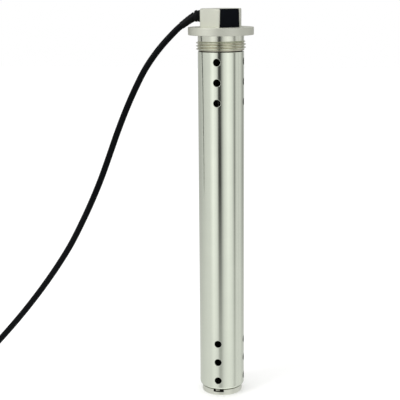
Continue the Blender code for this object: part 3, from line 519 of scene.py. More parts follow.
def surface(rings, capped=False, closed=False):
    """A mesh through rings of points, where one point is a pole; closed joins the last to the first."""
    bm = bmesh.new()
    laid = [[bm.verts.new(p) for p in ring] for ring in rings]
    joined = laid + laid[:1] if closed else laid
    for a, b in zip(joined, joined[1:]):
        count = max(len(a), len(b))
        for i in range(count if count > 1 else 0):
            j = (i + 1) % count
            corners = [a[i % len(a)], a[j % len(a)], b[j % len(b)], b[i % len(b)]]
            bm.faces.new(list(dict.fromkeys(corners)))
    if capped:
        bm.faces.new(laid[0][::-1])
        bm.faces.new(laid[-1])
    return bm


def lathe(outline, segments, radius_at=None):
    """A closed (radius, height) outline turned about Z."""
    rings = []
    for r, z in outline:
        if r < 1e-7:
            rings.append([Vector((0, 0, z))])
            continue
        ring = []
        for i in range(segments):
            angle = 2 * math.pi * i / segments
            radius = radius_at(angle, z, r) if radius_at else r
            ring.append(polar3(radius, angle, z))
        rings.append(ring)
    return surface(rings, closed=True)


def rod(radius, low, high, segments):
    return lathe([(0, low), (radius, low), (radius, high), (0, high)], segments)


def rounded(corners, steps=4):
    """A closed outline from (x, y, radius) corners, with each corner as an arc."""
    points = []
    count = len(corners)
    for i, (x, y, radius) in enumerate(corners):
        here = Vector((x, y))
        if radius <= 0:
            points.append((x, y))
            continue
        back = (Vector(corners[i - 1][:2]) - here).normalized()
        ahead = (Vector(corners[(i + 1) % count][:2]) - here).normalized()
        half = back.angle(ahead) / 2
        centre = here + (back + ahead).normalized() * (radius / math.sin(half))
        start = here + back * (radius / math.tan(half)) - centre
        end = here + ahead * (radius / math.tan(half)) - centre
        first = math.atan2(start.y, start.x)
        sweep = math.atan2(start.x * end.y - start.y * end.x, start.dot(end))
        for k in range(steps + 1):
            angle = first + sweep * k / steps
            points.append((centre.x + radius * math.cos(angle), centre.y + radius * math.sin(angle)))
    return points


def box_corners(left, right, low, high, corner):
    """A rectangle's (x, y, radius) corners, counter-clockwise."""
    return [(left, low, corner), (right, low, corner), (right, high, corner), (left, high, corner)]


def split_sides(points, steps):
    """A closed outline with each side longer than 3 mm cut into this many steps."""
    split = []
    for (x0, y0), (x1, y1) in zip(points, points[1:] + points[:1]):
        parts = steps if math.hypot(x1 - x0, y1 - y0) > 3 * MM else 1
        split += [Vector((x0, y0)).lerp(Vector((x1, y1)), k / parts) for k in range(parts)]
    return split


def eased(share):
    """A share from 0 to 1 that starts and ends level."""
    return share * share * (3 - 2 * share)


def along(azimuth, height=0.0):
    """Takes +Z to the horizontal direction of this azimuth, counted from -Y towards +X."""
    turn = Matrix.Rotation(azimuth, 4, "Z") @ Matrix.Rotation(math.radians(90), 4, "X")
    return Matrix.Translation((0, 0, height)) @ turn


def prism(outline, low, high, place=None):
    bm = surface([[Vector((x, y, z)) for x, y in outline] for z in (low, high)], capped=True)
    if place:
        bm.transform(place)
    return bm


def sector(inner, outer, low, high, middle, half, steps=6):
    outline = []
    for i in range(steps + 1):
        angle = middle - half + 2 * half * i / steps
        outline.append((outer * math.cos(angle), outer * math.sin(angle)))
    for i in range(steps + 1):
        angle = middle + half - 2 * half * i / steps
        outline.append((inner * math.cos(angle), inner * math.sin(angle)))
    return prism(outline, low, high)


def boolean(obj, tool_mesh, operation="DIFFERENCE"):
    """Applies a Boolean straight away and removes its tool."""
    tool = link("tool", tool_mesh, smooth=False)
    modifier = obj.modifiers.new("cut", "BOOLEAN")
    modifier.operation = operation
    modifier.object = tool
    modifier.solver = "EXACT"
    settle(obj)
    bpy.data.objects.remove(tool, do_unlink=True)


def settle(obj):
    """Applies every modifier on the object to its mesh."""
    graph = bpy.context.evaluated_depsgraph_get()
    mesh = bpy.data.meshes.new_from_object(obj.evaluated_get(graph))
    obj.modifiers.clear()
    obj.data = mesh


def soften(obj, width=0.0, segments=3, angle=35.0):
    """Rounds the sharp edges and keeps flat faces flat in the shading."""
    if width:
        modifier = obj.modifiers.new("edges", "BEVEL")
        modifier.width = width
        modifier.segments = segments
        modifier.limit_method = "ANGLE"
        modifier.angle_limit = math.radians(angle)
        settle(obj)
    obj.data.shade_smooth()
    obj.data.set_sharp_from_angle(angle=CREASE)
    modifier = obj.modifiers.new("flat_normals", "WEIGHTED_NORMAL")
    modifier.keep_sharp = True
    settle(obj)
    return obj


def smooth_path(route, step):
    """Points about one step apart on a Catmull-Rom curve through the route."""
    knots = [Vector(p) for p in route]
    knots = [2 * knots[0] - knots[1]] + knots + [2 * knots[-1] - knots[-2]]
    fine = []
    for a, b, c, d in zip(knots, knots[1:], knots[2:], knots[3:]):
        for k in range(CURVE_STEPS):
            t = k / CURVE_STEPS
            bend = (2 * a - 5 * b + 4 * c - d) * t**2 + (3 * b - a - 3 * c + d) * t**3
            fine.append(0.5 * (2 * b + (c - a) * t + bend))
    fine.append(knots[-2])
    lengths = [0.0]
    for a, b in zip(fine, fine[1:]):
        lengths.append(lengths[-1] + (b - a).length)
    count = max(2, round(lengths[-1] / step))
    path = []
    k = 0
    for i in range(count + 1):
        reach = lengths[-1] * i / count
        while k < len(fine) - 2 and lengths[k + 1] < reach:
            k += 1
        share = (reach - lengths[k]) / (lengths[k + 1] - lengths[k])
        path.append(fine[k].lerp(fine[k + 1], min(share, 1.0)))
    return path


def sweep(path, radii, sides=24):
    """A round rod of changing radius along a path, with closed ends."""
    rings = []
    side = Vector((0, 0, 1)).cross(path[1] - path[0]).normalized()
    for i, place in enumerate(path):
        ahead = (path[min(i + 1, len(path) - 1)] - path[max(i - 1, 0)]).normalized()
        side = (side - ahead * side.dot(ahead)).normalized()
        up = ahead.cross(side)
        ring = []
        for k in range(sides):
            angle = 2 * math.pi * k / sides
            ring.append(place + radii[i] * (side * math.cos(angle) + up * math.sin(angle)))
        rings.append(ring)
    return surface(rings, capped=True)


# ---- guard tube


def wall_columns():
    """Angles of the wall's upright grid lines, with the index at which each hole's cell starts."""
    cell = CELL / TUBE_R
    strip = math.pi / 2 - 2 * cell
    angles = []
    starts = []
    for quarter in range(4):
        middle = quarter * math.pi / 2
        starts.append(len(angles))
        angles += [middle - cell + 2 * cell * k / CELL_STEPS for k in range(CELL_STEPS)]
        angles += [middle + cell + strip * k / STRIP_STEPS for k in range(STRIP_STEPS)]
    return angles, starts


def wall_rows():
    """Levels of the wall's grid lines, with the index at which each hole's cell starts."""
    levels = [TUBE_BOTTOM + END_ROUND]
    starts = []
    for lowest in LOWEST_HOLES:
        for i in range(HOLES_IN_GROUP):
            first = lowest + i * HOLE_PITCH - CELL
            gap = first - levels[-1]
            steps = max(1, round(gap / ROW_STEP))
            levels += [levels[-1] + gap * (k + 1) / steps for k in range(steps)]
            starts.append(len(levels) - 1)
            levels += [first + 2 * CELL * (k + 1) / CELL_STEPS for k in range(CELL_STEPS)]
    levels.append(TUBE_TOP - TOP_EDGE)
    return levels, starts


class Shell:
    """Vertices with their own normals, and faces."""

    def __init__(self):
        self.places = []
        self.normals = []
        self.faces = []

    def add(self, place, normal):
        self.places.append(place)
        self.normals.append(normal)
        return len(self.places) - 1

    def strip(self, a, b):
        """Quads between two closed rows of vertices."""
        for i in range(len(a)):
            j = (i + 1) % len(a)
            self.faces.append((a[i], a[j], b[j], b[i]))


def cell_border(grid, column, row):
    """The 32 grid vertices round one hole's cell, counter-clockwise from its lower left corner."""
    columns = len(grid[0])
    n = CELL_STEPS
    steps = [(k, 0) for k in range(n)] + [(n, k) for k in range(n)]
    steps += [(n - k, n) for k in range(n)] + [(0, n - k) for k in range(n)]
    return [grid[row + up][(column + right) % columns] for right, up in steps]


def wall_layer(shell, radius, facing, holes):
    """One face of the wall with an open cell round each hole. Returns its bottom row and its top row."""
    angles, column_starts = wall_columns()
    levels, row_starts = wall_rows()
    inside = set()
    for row in row_starts:
        for column in column_starts:
            inside |= {(row + j, column + i) for j in range(CELL_STEPS) for i in range(CELL_STEPS)}
    grid = []
    for j, level in enumerate(levels):
        line = []
        for i, angle in enumerate(angles):
            hidden = {(j, i), (j - 1, i), (j, i - 1), (j - 1, i - 1)} <= inside
            place = polar3(radius, angle, level)
            line.append(None if hidden else shell.add(place, polar3(facing, angle, 0)))
        grid.append(line)
    for j in range(len(levels) - 1):
        for i in range(len(angles)):
            if (j, i) not in inside:
                k = (i + 1) % len(angles)
                shell.faces.append((grid[j][i], grid[j][k], grid[j + 1][k], grid[j + 1][i]))
    for row in row_starts:
        for quarter, column in enumerate(column_starts):
            holes[(row, quarter)].append(cell_border(grid, column, row))
    return grid[0], grid[-1]


def hole_ring(shell, quarter, level, radius, layer_r, lean, facing):
    """A ring round a hole on a cylinder; lean turns its normal from the wall's (0) to the hole's own (1)."""
    out = polar3(1, quarter * math.pi / 2, 0)
    side = polar3(1, (quarter + 1) * math.pi / 2, 0)
    ring = []
    for k in range(4 * CELL_STEPS):
        angle = math.radians(225) + 2 * math.pi * k / (4 * CELL_STEPS)
        across = radius * math.cos(angle)
        up = radius * math.sin(angle)
        place = out * math.sqrt(layer_r**2 - across**2) + side * across
        wall = place.normalized() * facing
        inward = -(side * math.cos(angle) + Vector((0, 0, math.sin(angle))))
        normal = wall * math.cos(lean * math.pi / 2) + inward * math.sin(lean * math.pi / 2)
        ring.append(shell.add(place + Vector((0, 0, level + up)), normal.normalized()))
    return ring


def between(shell, border, ring, share, layer_r, facing):
    """A ring part of the way from a cell's border to a hole's edge, kept on the cylinder."""
    made = []
    for a, b in zip(border, ring):
        place = shell.places[a].lerp(shell.places[b], share)
        flat = Vector((place.x, place.y, 0)).normalized()
        made.append(shell.add(flat * layer_r + Vector((0, 0, place.z)), flat * facing))
    return made


def wall_rim(shell, angles, outer_top, inner_top):
    """The rounded outer edge and the flat end at the top of the wall."""
    rims = [outer_top]
    steps = 4
    for k in range(1, steps + 1):
        lean = math.pi / 2 * k / steps
        radius = TUBE_R - TOP_EDGE + TOP_EDGE * math.cos(lean)
        height = TUBE_TOP - TOP_EDGE + TOP_EDGE * math.sin(lean)
        rims.append(leaning_ring(shell, angles, radius, height, lean))
    rims.append([shell.add(polar3(TUBE_INNER_R, a, TUBE_TOP), Vector((0, 0, 1))) for a in angles])
    rims.append(inner_top)
    for a, b in zip(rims, rims[1:]):
        shell.strip(a, b)


def wall_foot(shell, angles, outer_foot, inner_foot):
    """The rounded foot, closed inside just above the lip."""
    feet = [outer_foot]
    last = math.acos((SHELL_FOOT_R - TUBE_R + END_ROUND) / END_ROUND)
    steps = 8
    for k in range(1, steps + 1):
        lean = -last * k / steps
        radius = TUBE_R - END_ROUND + END_ROUND * math.cos(lean)
        height = TUBE_BOTTOM + END_ROUND + END_ROUND * math.sin(lean)
        feet.append(leaning_ring(shell, angles, radius, height, lean))
    for radius in (SHELL_FOOT_R, TUBE_INNER_R):
        feet.append([shell.add(polar3(radius, a, LIP_TOP + 0.2 * MM), Vector((0, 0, 1))) for a in angles])
    feet.append(inner_foot)
    for a, b in zip(feet, feet[1:]):
        shell.strip(b, a)


def leaning_ring(shell, angles, radius, height, lean):
    """A ring whose normals lean up from level by this angle."""
    return [shell.add(polar3(radius, a, height), polar3(math.cos(lean), a, math.sin(lean))) for a in angles]


def make_tube_wall():
    """The perforated wall with its rounded foot, as one closed shell with exact normals."""
    shell = Shell()
    angles, _ = wall_columns()
    levels, row_starts = wall_rows()
    holes = {(row, quarter): [] for row in row_starts for quarter in range(4)}
    outer_foot, outer_top = wall_layer(shell, TUBE_R, 1, holes)
    inner_foot, inner_top = wall_layer(shell, TUBE_INNER_R, -1, holes)
    for (row, quarter), (outer, inner) in holes.items():
        drill_hole(shell, quarter, levels[row] + CELL, outer, inner)
    wall_rim(shell, angles, outer_top, inner_top)
    wall_foot(shell, angles, outer_foot, inner_foot)
    mesh = bpy.data.meshes.new("tube_wall")
    mesh.from_pydata(shell.places, [], shell.faces)
    bm = bmesh.new()
    bm.from_mesh(mesh)
    bmesh.ops.recalc_face_normals(bm, faces=bm.faces)
    bm.to_mesh(mesh)
    bm.free()
    mesh.shade_smooth()
    mesh.normals_split_custom_set_from_vertices(shell.normals)
    return link("tube_wall", mesh)


def drill_hole(shell, quarter, level, outer, inner):
    """Joins the two cell borders of one hole through its rounded edges."""
    edges = []
    for layer_r, facing, away in ((TUBE_R, 1, -1), (TUBE_INNER_R, -1, 1)):
        rings = []
        for k in range(4):
            lean = k / 3
            angle = lean * math.pi / 2
            radius = HOLE_R + HOLE_EDGE * (1 - math.sin(angle))
            depth = away * HOLE_EDGE * (1 - math.cos(angle))
            rings.append(hole_ring(shell, quarter, level, radius, layer_r + depth, lean, facing))
        edges.append(rings)
    outward, inward = edges
    rows = [outer]
    rows += [between(shell, outer, outward[0], share, TUBE_R, 1) for share in (0.35, 0.65, 0.88)]
    rows += outward + inward[::-1]
    rows += [between(shell, inner, inward[0], share, TUBE_INNER_R, -1) for share in (0.7, 0.35)]
    rows.append(inner)
    for a, b in zip(rows, rows[1:]):
        shell.strip(a, b)


def make_tube_lip():
    """The ring inside the wall's foot, with two tongues below it and two slots for the cap's lugs."""
    outer = SHELL_FOOT_R + 0.2 * MM
    centre = (TUBE_R - END_ROUND, TUBE_BOTTOM + END_ROUND)
    last = math.acos((SHELL_FOOT_R - centre[0]) / END_ROUND)
    outline = [(LIP_BORE_R, TUBE_BOTTOM + 0.2 * MM), (LIP_BORE_R + 0.2 * MM, TUBE_BOTTOM)]
    for k in range(4):
        lean = -math.pi / 2 + (math.pi / 2 - last) * k / 3
        outline.append((centre[0] + END_ROUND * math.cos(lean), centre[1] + END_ROUND * math.sin(lean)))
    outline += [(outer, TUBE_BOTTOM + 0.6 * MM), (outer, LIP_TOP), (LIP_BORE_R, LIP_TOP)]
    lip = link("tube_lip", lathe(outline, 96))
    inner, far = TONGUE_RADII
    spare = (NOTCH_WIDTH - TONGUE_WIDTH) / 2 / far - STOP_CLEARANCE - CAP_BACK
    for front in (-90, 90):
        middle = math.radians(front) - spare
        half = TONGUE_WIDTH / 2 / far
        boolean(lip, sector(inner, far, tube_low.z, TUBE_BOTTOM + MM, middle, half), "UNION")
    for right in (0, 180):
        middle = math.radians(right - CAP_TRAVEL_DEGREES) + CAP_BACK
        low = TUBE_BOTTOM - MM
        slot = sector(LIP_BORE_R - MM, LUG_R + 0.5 * MM, low, LIP_TOP + MM, middle, LUG_SLOT_HALF)
        boolean(lip, slot)
    return soften(lip)


# ---- head plug


def thread_radius(angle, height, radius):
    """A right-hand 60 degree thread between its two levels, running out at each end."""
    if not THREAD_BOTTOM < height < THREAD_TOP or abs(radius - THREAD_MINOR_R) > 1e-6:
        return radius
    phase = (height / THREAD_PITCH - angle / (2 * math.pi)) % 1.0
    flank = 1 - abs(2 * phase - 1)
    tooth = min(1.0, max(0.0, (flank - THREAD_ROOT) / THREAD_FLANK))
    tooth = eased(tooth) * THREAD_SOFTNESS + tooth * (1 - THREAD_SOFTNESS)
    run_out = min(height - THREAD_BOTTOM, THREAD_TOP - height) / (THREAD_PITCH * THREAD_RUN_OUT)
    return THREAD_MINOR_R + (THREAD_MAJOR_R - THREAD_MINOR_R) * tooth * min(1.0, run_out)


def make_flange():
    """Flange, neck, thread, groove and spigot, turned in one."""
    edge = 0.6 * MM
    rows = 80
    climb = THREAD_TOP - THREAD_BOTTOM
    corners = [
        (PLUG_BORE_R, head_low.z, 0.3 * MM), (GROOVE_R, head_low.z, 0.5 * MM), (GROOVE_R, THREAD_BOTTOM, 0),
    ]
    corners += [(THREAD_MINOR_R, THREAD_BOTTOM + climb * k / rows, 0) for k in range(rows + 1)]
    corners += [
        (THREAD_MINOR_R, FLANGE_BOTTOM, 0.5 * MM), (FLANGE_R, FLANGE_BOTTOM, edge),
        (FLANGE_R, FLANGE_TOP, edge), (CHAMBER_R, FLANGE_TOP, 0),
        (CHAMBER_R, PLUG_BORE_TOP, 0), (PLUG_BORE_R, PLUG_BORE_TOP, 0),
    ]
    return soften(link("head_flange", lathe(rounded(corners), 192, thread_radius)))


def hexagon_ring(height, shrink, limit):
    """A rounded hexagon at one level; no point lies farther out than the limit."""
    side = (HEX_FLAT - shrink) / math.cos(math.radians(30))
    corners = []
    for i in range(6):
        angle = HEX_TURN - math.pi / 2 + math.radians(60 * i)
        corners.append((side * math.cos(angle), side * math.sin(angle), HEX_CORNER_R))
    ring = []
    for x, y in split_sides(rounded(corners, 6), 10):
        spot = Vector((x, y, 0))
        if spot.length > limit:
            spot *= limit / spot.length
        ring.append(spot + Vector((0, 0, height)))
    return ring


def make_hexagon():
    """The rounded hexagon with its chamfered top, the cover's slot and window, and the cord's bore."""
    slope = math.tan(math.radians(30))
    rings = []
    for height in (FLANGE_TOP - 0.6 * MM, FLANGE_TOP + 6 * MM, HEAD_TOP - 6 * MM, HEAD_TOP - 2 * MM):
        rings.append(hexagon_ring(height, 0, 1))
    for drop in (1.5, 1.2, 1.0, 0.8, 0.6, 0.45, 0.3, 0.15, 0.05, 0.0):
        soft = 0.25 * MM * max(0.0, 1 - drop / 0.3) ** 2
        rings.append(hexagon_ring(HEAD_TOP - drop * MM, soft, HEX_CHAMFER_R - soft + drop * MM / slope))
    body = link("head_hexagon", surface(rings, capped=True))
    boolean(body, rod(CHAMBER_R, FLANGE_TOP - MM, CHAMBER_TOP, 48))
    across = along(COVER_AZIMUTH)
    reach = COVER_SLOT_DEPTH
    boolean(body, prism(cover_outline(0.25 * MM), HEX_FLAT - reach, HEX_FLAT + reach, across))
    corners = box_corners(-WINDOW_HALF_WIDTH, WINDOW_HALF_WIDTH, *WINDOW_LEVELS, 0)
    boolean(body, prism([(x, y) for x, y, _ in corners], 5 * MM, HEX_FLAT, across))
    bore = rod(CORD_BORE_R + GAP, 8 * MM, 30 * MM, 48)
    bore.transform(along(CORD_AZIMUTH, CORD_BORE_Z))
    boolean(body, bore)
    return soften(body)


def cover_outline(margin):
    """The cover's face from outside: (across, height) corners, wider at the foot."""
    low = FLANGE_TOP + GAP - margin
    high = HEAD_TOP + 10 * margin
    top = COVER_TOP_WIDTH / 2 + margin
    foot = COVER_FOOT_WIDTH / 2 + margin
    return [(-foot, low), (foot, low), (top, high), (-top, high)]


def make_cover():
    """The moulded cover with a shallow panel sunk into its face."""
    bm = prism(cover_outline(0), HEX_FLAT - COVER_DEPTH, HEX_FLAT)
    face = max(bm.faces, key=lambda f: f.calc_center_median().z)
    bmesh.ops.inset_region(bm, faces=[face], thickness=PANEL_BORDER)
    bmesh.ops.inset_region(bm, faces=[face], thickness=PANEL_SLOPE, depth=-PANEL_DEPTH)
    bm.transform(along(COVER_AZIMUTH))
    return soften(link("cover_panel", bm), 0.45 * MM, 4, 20)


def make_sleeve(path):
    """The bush in the head's bore and the tapered tail on the cord behind it."""
    flat = HEX_FLAT
    outline = rounded([
        (0, SLEEVE_IN, 0), (CORD_BORE_R, SLEEVE_IN, 0.4 * MM), (CORD_BORE_R, flat + GAP, 0),
        (SLEEVE_R, flat + GAP, 0.3 * MM), (SLEEVE_R, flat + 2.2 * MM, 0.2 * MM),
        (SLEEVE_R - 0.5 * MM, flat + 2.6 * MM, 0.2 * MM), (SLEEVE_R - 0.5 * MM, flat + 3.2 * MM, 0.2 * MM),
        (SLEEVE_R, flat + 3.6 * MM, 0.2 * MM), (SLEEVE_R - 0.3 * MM, SLEEVE_OUT - 0.6 * MM, 0.6 * MM),
        (CORD_R + 0.9 * MM, SLEEVE_OUT, 0.3 * MM), (0, SLEEVE_OUT, 0),
    ], 3)
    bm = lathe(outline, 40)
    bm.transform(along(CORD_AZIMUTH, CORD_BORE_Z))
    bush = soften(link("cord_bush", bm))
    tail = [p for p in path if (p - path[0]).length < SLEEVE_TAIL]
    start = along(CORD_AZIMUTH, CORD_BORE_Z) @ Vector((0, 0, SLEEVE_OUT - MM))
    tail = smooth_path([start] + tail[1:], SLEEVE_STEP)
    radii = []
    for i in range(len(tail)):
        share = i / (len(tail) - 1)
        groove = 0.22 * MM if i % 5 == 4 and share < 0.85 else 0.0
        radii.append(CORD_R + (1.25 - 0.95 * share) * MM - groove)
    relief = link("cord_relief", sweep(tail, radii, 32))
    return bush, relief


# ---- foot cap


def make_foot():
    """The turned cap with its seal groove, two notches in the rim and two bayonet lugs."""
    low, high = SEAL_GROOVE_LEVELS
    corners = [
        (0, 0, 0), (CAP_R, 0, 1.1 * MM), (CAP_R, CAP_RIM_TOP, 0.35 * MM), (CAP_SPIGOT_R, CAP_RIM_TOP, 0),
        (CAP_SPIGOT_R, low, 0), (SEAL_GROOVE_R, low, 0), (SEAL_GROOVE_R, high, 0), (CAP_SPIGOT_R, high, 0),
        (CAP_SPIGOT_R, CAP_TOP, 0.3 * MM), (CAP_BORE_R, CAP_TOP, 0.3 * MM), (CAP_BORE_R, CAP_FLOOR, 0.8 * MM),
        (0, CAP_FLOOR, 0),
    ]
    cap = link("foot_disc", lathe(rounded(corners), 120))
    inner, far = TONGUE_RADII
    notch = (inner - GAP, CAP_R + MM, CAP_RIM_TOP - NOTCH_HEIGHT, CAP_RIM_TOP + 0.2 * MM)
    for front in (-90, 90):
        boolean(cap, sector(*notch, math.radians(front), NOTCH_WIDTH / 2 / far))
    lug = (CAP_SPIGOT_R - MM, LUG_R, LIP_TOP + GAP, CAP_TOP - 0.2 * MM)
    for right in (0, 180):
        boolean(cap, sector(*lug, math.radians(right), LUG_HALF), "UNION")
    return soften(cap)


# ---- lead


def in_lead_plane(out, level, depth=LEAD_DEPTH):
    """A point of the lead's upright plane: out from the axis, up, and behind the axis."""
    c = math.cos(VIEW_TURN)
    s = math.sin(VIEW_TURN)
    return Vector((out * c - depth * s, out * s + depth * c, level))


# From the sleeve to the coil: (out from the axis, up), in mm
LEAD_ROUTE = (
    (-27.5, 374.4), (-34.0, 369.8), (-42.6, 363.0), (-58.5, 346.2), (-72.2, 327.5), (-83.2, 307.0),
    (-93.0, 285.6), (-101.9, 263.6), (-110.2, 241.2), (-118.8, 218.6), (-128.5, 196.2), (-139.2, 174.0),
    (-150.9, 151.9), (-164.3, 130.7), (-178.9, 110.0), (-194.5, 89.7), (-210.9, 70.0), (-228.0, 50.8),
    (-245.0, 32.5), (-260.0, 18.8), (-275.0, 8.9), (-291.5, 3.5),
)

# From the coil's top into the plug: (angle, radius, level), in degrees and mm
TAIL_ROUTE = (
    (54, 39.5, 16.2), (33, 39.5, 16.2), (12, 39.5, 16.3), (-9, 39.5, 16.6), (-26, 38.7, 17.6),
    (-44, 36.3, 19.3), (-62, 32.6, 21.4), (-83, 27.7, 23.5), (-107, 22.3, 24.8), (-118, 20.2, 25.0),
)

# Where the coil's turns change lane or layer: (turns from the start, radius, level)
COIL_PLAN = (
    (0.0, COIL_OUTER_R, LAYERS[0]), (0.7, COIL_OUTER_R, LAYERS[0]), (0.9, COIL_INNER_R, LAYERS[0]),
    (1.5, COIL_INNER_R, LAYERS[0]), (1.7, COIL_INNER_R, LAYERS[1]), (2.3, COIL_INNER_R, LAYERS[1]),
    (2.5, COIL_OUTER_R, LAYERS[1]), (3.1, COIL_OUTER_R, LAYERS[1]), (3.3, COIL_OUTER_R, LAYERS[2]),
    (3.6, COIL_OUTER_R, LAYERS[2]),
)
POINTS_A_TURN = 30


def coil_place(degrees, radius, level):
    angle = math.radians(degrees)
    out, depth = COIL_CENTRE
    return in_lead_plane(out + radius * math.cos(angle), level, depth + radius * math.sin(angle))


def coil_turns():
    """The lead's turns, clockwise from above, raised a little where the tie passes under them."""
    points = []
    count = round(COIL_PLAN[-1][0] * POINTS_A_TURN)
    for i in range(1, count):
        turns = COIL_PLAN[-1][0] * i / count
        for before, after in zip(COIL_PLAN, COIL_PLAN[1:]):
            if turns <= after[0]:
                break
        share = eased((turns - before[0]) / (after[0] - before[0]))
        radius = before[1] + (after[1] - before[1]) * share
        level = before[2] + (after[2] - before[2]) * share
        degrees = -90 - 360 * turns
        from_tie = (degrees - TIE_DEGREES + 180) % 360 - 180
        lift = 1.8 if level > LAYERS[1] + MM else 1.0
        level += lift * MM * max(0.0, math.cos(math.radians(90 * min(1.0, abs(from_tie) / 26)))) ** 2
        points.append(coil_place(degrees, radius, level))
    return points


def lead_route():
    points = [in_lead_plane(out * MM, level * MM) for out, level in LEAD_ROUTE]
    points += coil_turns()
    points += [coil_place(angle, radius * MM, level * MM) for angle, radius, level in TAIL_ROUTE]
    return points


def make_lead(path):
    curve = bpy.data.curves.new("lead", "CURVE")
    curve.dimensions = "3D"
    curve.bevel_depth = CORD_R
    curve.bevel_resolution = 6
    curve.use_fill_caps = True
    spline = curve.splines.new("POLY")
    spline.points.add(len(path) - 1)
    for point, place in zip(spline.points, path):
        point.co = (*place, 1.0)
    spline.use_smooth = True
    return link("lead", curve)


def make_tie():
    """A strap round the coil's bundle of turns, closed under it."""
    inner = COIL_INNER_R - CORD_R - GAP
    outer = COIL_OUTER_R + CORD_R + GAP
    low = 0.1 * MM
    high = LAYERS[1] + CORD_R + 1.0 * MM + GAP
    t = TIE_THICK
    inside = rounded(box_corners(inner, outer, low + t, high, 2.4 * MM), 6)
    outside = rounded(box_corners(inner - t, outer + t, low, high + t, 3.3 * MM), 6)
    half = TIE_HALF_WIDTH
    soft = 0.22 * MM
    opening = ((soft, 0.0), (0.0, soft))
    closing = opening[::-1]
    rings = []
    for loop, toward, edge, insets in (
        (inside, outside, -half, opening), (inside, outside, half, closing),
        (outside, inside, half, opening), (outside, inside, -half, closing),
    ):
        for depth, back in insets:
            share = depth / TIE_THICK
            across = edge - math.copysign(back, edge)
            rings.append([
                Vector((a[0] + (b[0] - a[0]) * share, across, a[1] + (b[1] - a[1]) * share))
                for a, b in zip(loop, toward)
            ])
    bm = surface(rings, closed=True)
    centre = in_lead_plane(COIL_CENTRE[0], 0, COIL_CENTRE[1])
    bm.transform(Matrix.Translation(centre) @ Matrix.Rotation(VIEW_TURN + math.radians(TIE_DEGREES), 4, "Z"))
    return soften(link("tie_strap", bm))


# ---- plug


def make_relief(place):
    """The plug's ribbed strain relief: rings of rubber, growing towards the plug."""
    corners = [(0, 0.3 * MM, 0), (3.9 * MM, 0.3 * MM, 0.3 * MM)]
    ribs = 5
    pitch = (PLUG_TAIL - 1.5 * MM) / ribs
    for i in range(ribs):
        low = 1.5 * MM + i * pitch
        radius = 4.3 * MM + 2.4 * MM * (i + 0.5) / ribs
        corners += [(radius - 0.8 * MM, low, 0.2 * MM), (radius, low + 0.3 * MM, 0.3 * MM)]
        corners += [(radius + 0.25 * MM, low + pitch - 1.3 * MM, 0.3 * MM)]
        corners += [(radius - 0.6 * MM, low + pitch - 1.0 * MM, 0.2 * MM)]
    corners += [(6.6 * MM, PLUG_TAIL - 0.3 * MM, 0.1 * MM), (0, PLUG_TAIL, 0)]
    bm = lathe(rounded(corners, 2), 40)
    bm.transform(place @ Matrix.Rotation(math.radians(90), 4, "Y"))
    return soften(link("plug_relief", bm))


def plug_section(reach, half_width, half_height, grip):
    """A rounded section of the plug's body, drawn in at its sides by the grip's share of the width."""
    corner = min(half_width, half_height) * 0.42
    corners = box_corners(-half_width, half_width, -half_height, half_height, corner)
    ring = []
    for y, z in split_sides(rounded(corners, 8), 8):
        hold = max(0.0, (abs(y) / half_width - 0.55) / 0.45) * max(0.0, 1 - (abs(z) / half_height) ** 4)
        ring.append(Vector((reach, y * (1 - grip * hold), z)))
    return ring


# The plug's body behind its grips: (distance, half width, half height), in mm
PLUG_FLARE = (
    (20.3, 6.6, 6.6), (20.8, 7.4, 7.4), (22.5, 8.4, 8.2), (25.0, 9.8, 9.3), (27.5, 11.3, 10.4),
    (29.5, 12.3, 11.1), (31.5, 12.85, 11.6), (33.5, 13.0, 11.8),
)
GRIP_ENDS = (34.0, 48.0)
GRIP_RIBS = 6
# The body's front edge and its shallow dish: (distance behind the face, inset), in mm
PLUG_FRONT = (
    (3.0, 0.0), (1.2, 0.0), (0.6, 0.15), (0.2, 0.5), (0.0, 1.1), (0.0, 2.2), (0.35, 2.5), (0.35, 3.5),
)
# A blade's rounded tip: (distance from the plug's face, narrowing), in mm
BLADE_TIP = ((0, 0), (13.6, 0), (15.6, 0.15), (16.8, 0.45), (17.3, 0.75))
BLADE_HALF_THICK = 0.75 * MM
BLADE_HALF_WIDE = 3.175 * MM


def make_plug(place):
    """The moulded plug: a flared body with ribbed finger grips on its sides."""
    rings = [plug_section(x * MM, w * MM, h * MM, 0.0) for x, w, h in PLUG_FLARE]
    first, last = GRIP_ENDS
    steps = 56
    for i in range(steps + 1):
        reach = first + (last - first) * i / steps
        hollow = 0.075 * math.sin(math.pi * i / steps)
        rib = 0.028 * (0.5 + 0.5 * math.cos(2 * math.pi * GRIP_RIBS * i / steps))
        fade = min(1.0, 6 * i / steps, 6 * (steps - i) / steps)
        rings.append(plug_section(reach * MM, PLUG_HALF_WIDTH, PLUG_HALF_HEIGHT, hollow + rib * fade))
    for back, inset in PLUG_FRONT:
        half_width = PLUG_HALF_WIDTH - inset * MM
        half_height = PLUG_HALF_HEIGHT - inset * MM
        rings.append(plug_section(PLUG_FACE - back * MM, half_width, half_height, 0.0))
    bm = surface(rings, capped=True)
    bm.transform(place)
    return soften(link("plug_case", bm))


def make_blade(name, place, middle, low):
    """A flat pin with a tapered tip."""
    rings = []
    for reach, narrow in BLADE_TIP:
        thick = BLADE_HALF_THICK - 0.6 * narrow * MM
        wide = BLADE_HALF_WIDE - narrow * 1.6 * MM
        ring = rounded(box_corners(-thick, thick, -wide, wide, 0.18 * MM), 3)
        start = PLUG_FACE - GAP
        rings.append([Vector((start + reach * MM, middle + x, low + y)) for x, y in ring])
    bm = surface(rings, capped=True)
    bm.transform(place)
    return soften(link(name, bm))


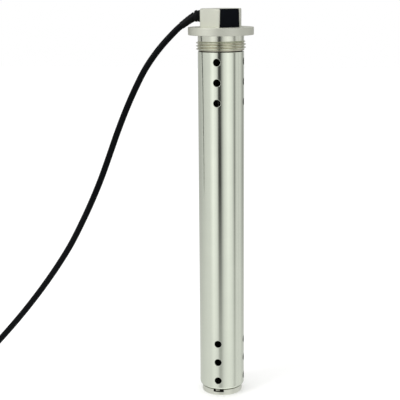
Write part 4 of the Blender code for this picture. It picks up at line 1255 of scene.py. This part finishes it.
def make_earth_pin(place, high):
    """The round pin, with a domed tip."""
    start = PLUG_FACE - GAP
    reach = start + 20.3 * MM
    corners = [
        (0, start, 0), (2.4 * MM, start, 0), (2.4 * MM, reach - 1.8 * MM, 1.2 * MM),
        (1.3 * MM, reach, 0.7 * MM), (0, reach, 0),
    ]
    bm = lathe(rounded(corners, 5), 36)
    raised = place @ Matrix.Translation((0, 0, high))
    bm.transform(raised @ Matrix.Rotation(math.radians(90), 4, "Y"))
    return soften(link("earth_pin", bm))


# ---- assembly

make_camera()
make_world()
make_floor()
make_lamp()
make_tent()
FINISHES = make_finishes()

route = lead_route()
path = smooth_path(route, PATH_STEP)
for point in path:
    point.z = max(point.z, CORD_R)
lead = dress(make_lead(path), "cord_jacket", "root", "mains_cord", "cord_coil", "cord_tail")
tie = dress(make_tie(), "tie_rubber", "root", "coil_tie")

tail = smooth_path([coil_place(a, r * MM, z * MM) for a, r, z in TAIL_ROUTE], TAIL_STEP)
heading = tail[-1] - tail[-2]
plug_place = Matrix.Translation(tail[-1]) @ Matrix.Rotation(math.atan2(heading.y, heading.x), 4, "Z")
plug_relief = dress(make_relief(plug_place), "sleeve_rubber", "root", "plug_strain_relief")
plug_case = dress(make_plug(plug_place), "plug_plastic", "root", "plug_body")
live = make_blade("blade_live", plug_place, -BLADE_SPACING / 2, -PIN_OFFSET)
dress(live, "blade_metal", "root", "plug_blade_live")
neutral = make_blade("blade_neutral", plug_place, BLADE_SPACING / 2, -PIN_OFFSET)
dress(neutral, "blade_metal", "root", "plug_blade_neutral")
earth = dress(make_earth_pin(plug_place, PIN_OFFSET), "blade_metal", "root", "plug_earth_pin")

bush, relief = make_sleeve(path)
dress(bush, "sleeve_rubber", "root", "cord_sleeve")
dress(relief, "sleeve_rubber", "root")

dress(make_tube_wall(), "guard_steel", "root", "guard_tube")
dress(make_tube_lip(), "guard_steel", "root", "guard_tube")
dress(make_flange(), "head_steel", "root", "head_plug")
dress(make_hexagon(), "head_steel", "root", "head_plug")
dress(make_cover(), "cover_plastic", "root", "terminal_cover")
dress(make_foot(), "cap_steel", "foot", "foot_cap")

for sub_part in frame["record"]["subparts"]:
    if sub_part["node"] not in REPLACED:
        for slot in nodes[sub_part["node"]].material_slots:
            slot.material = FINISHES[sub_part["material_slot"]]
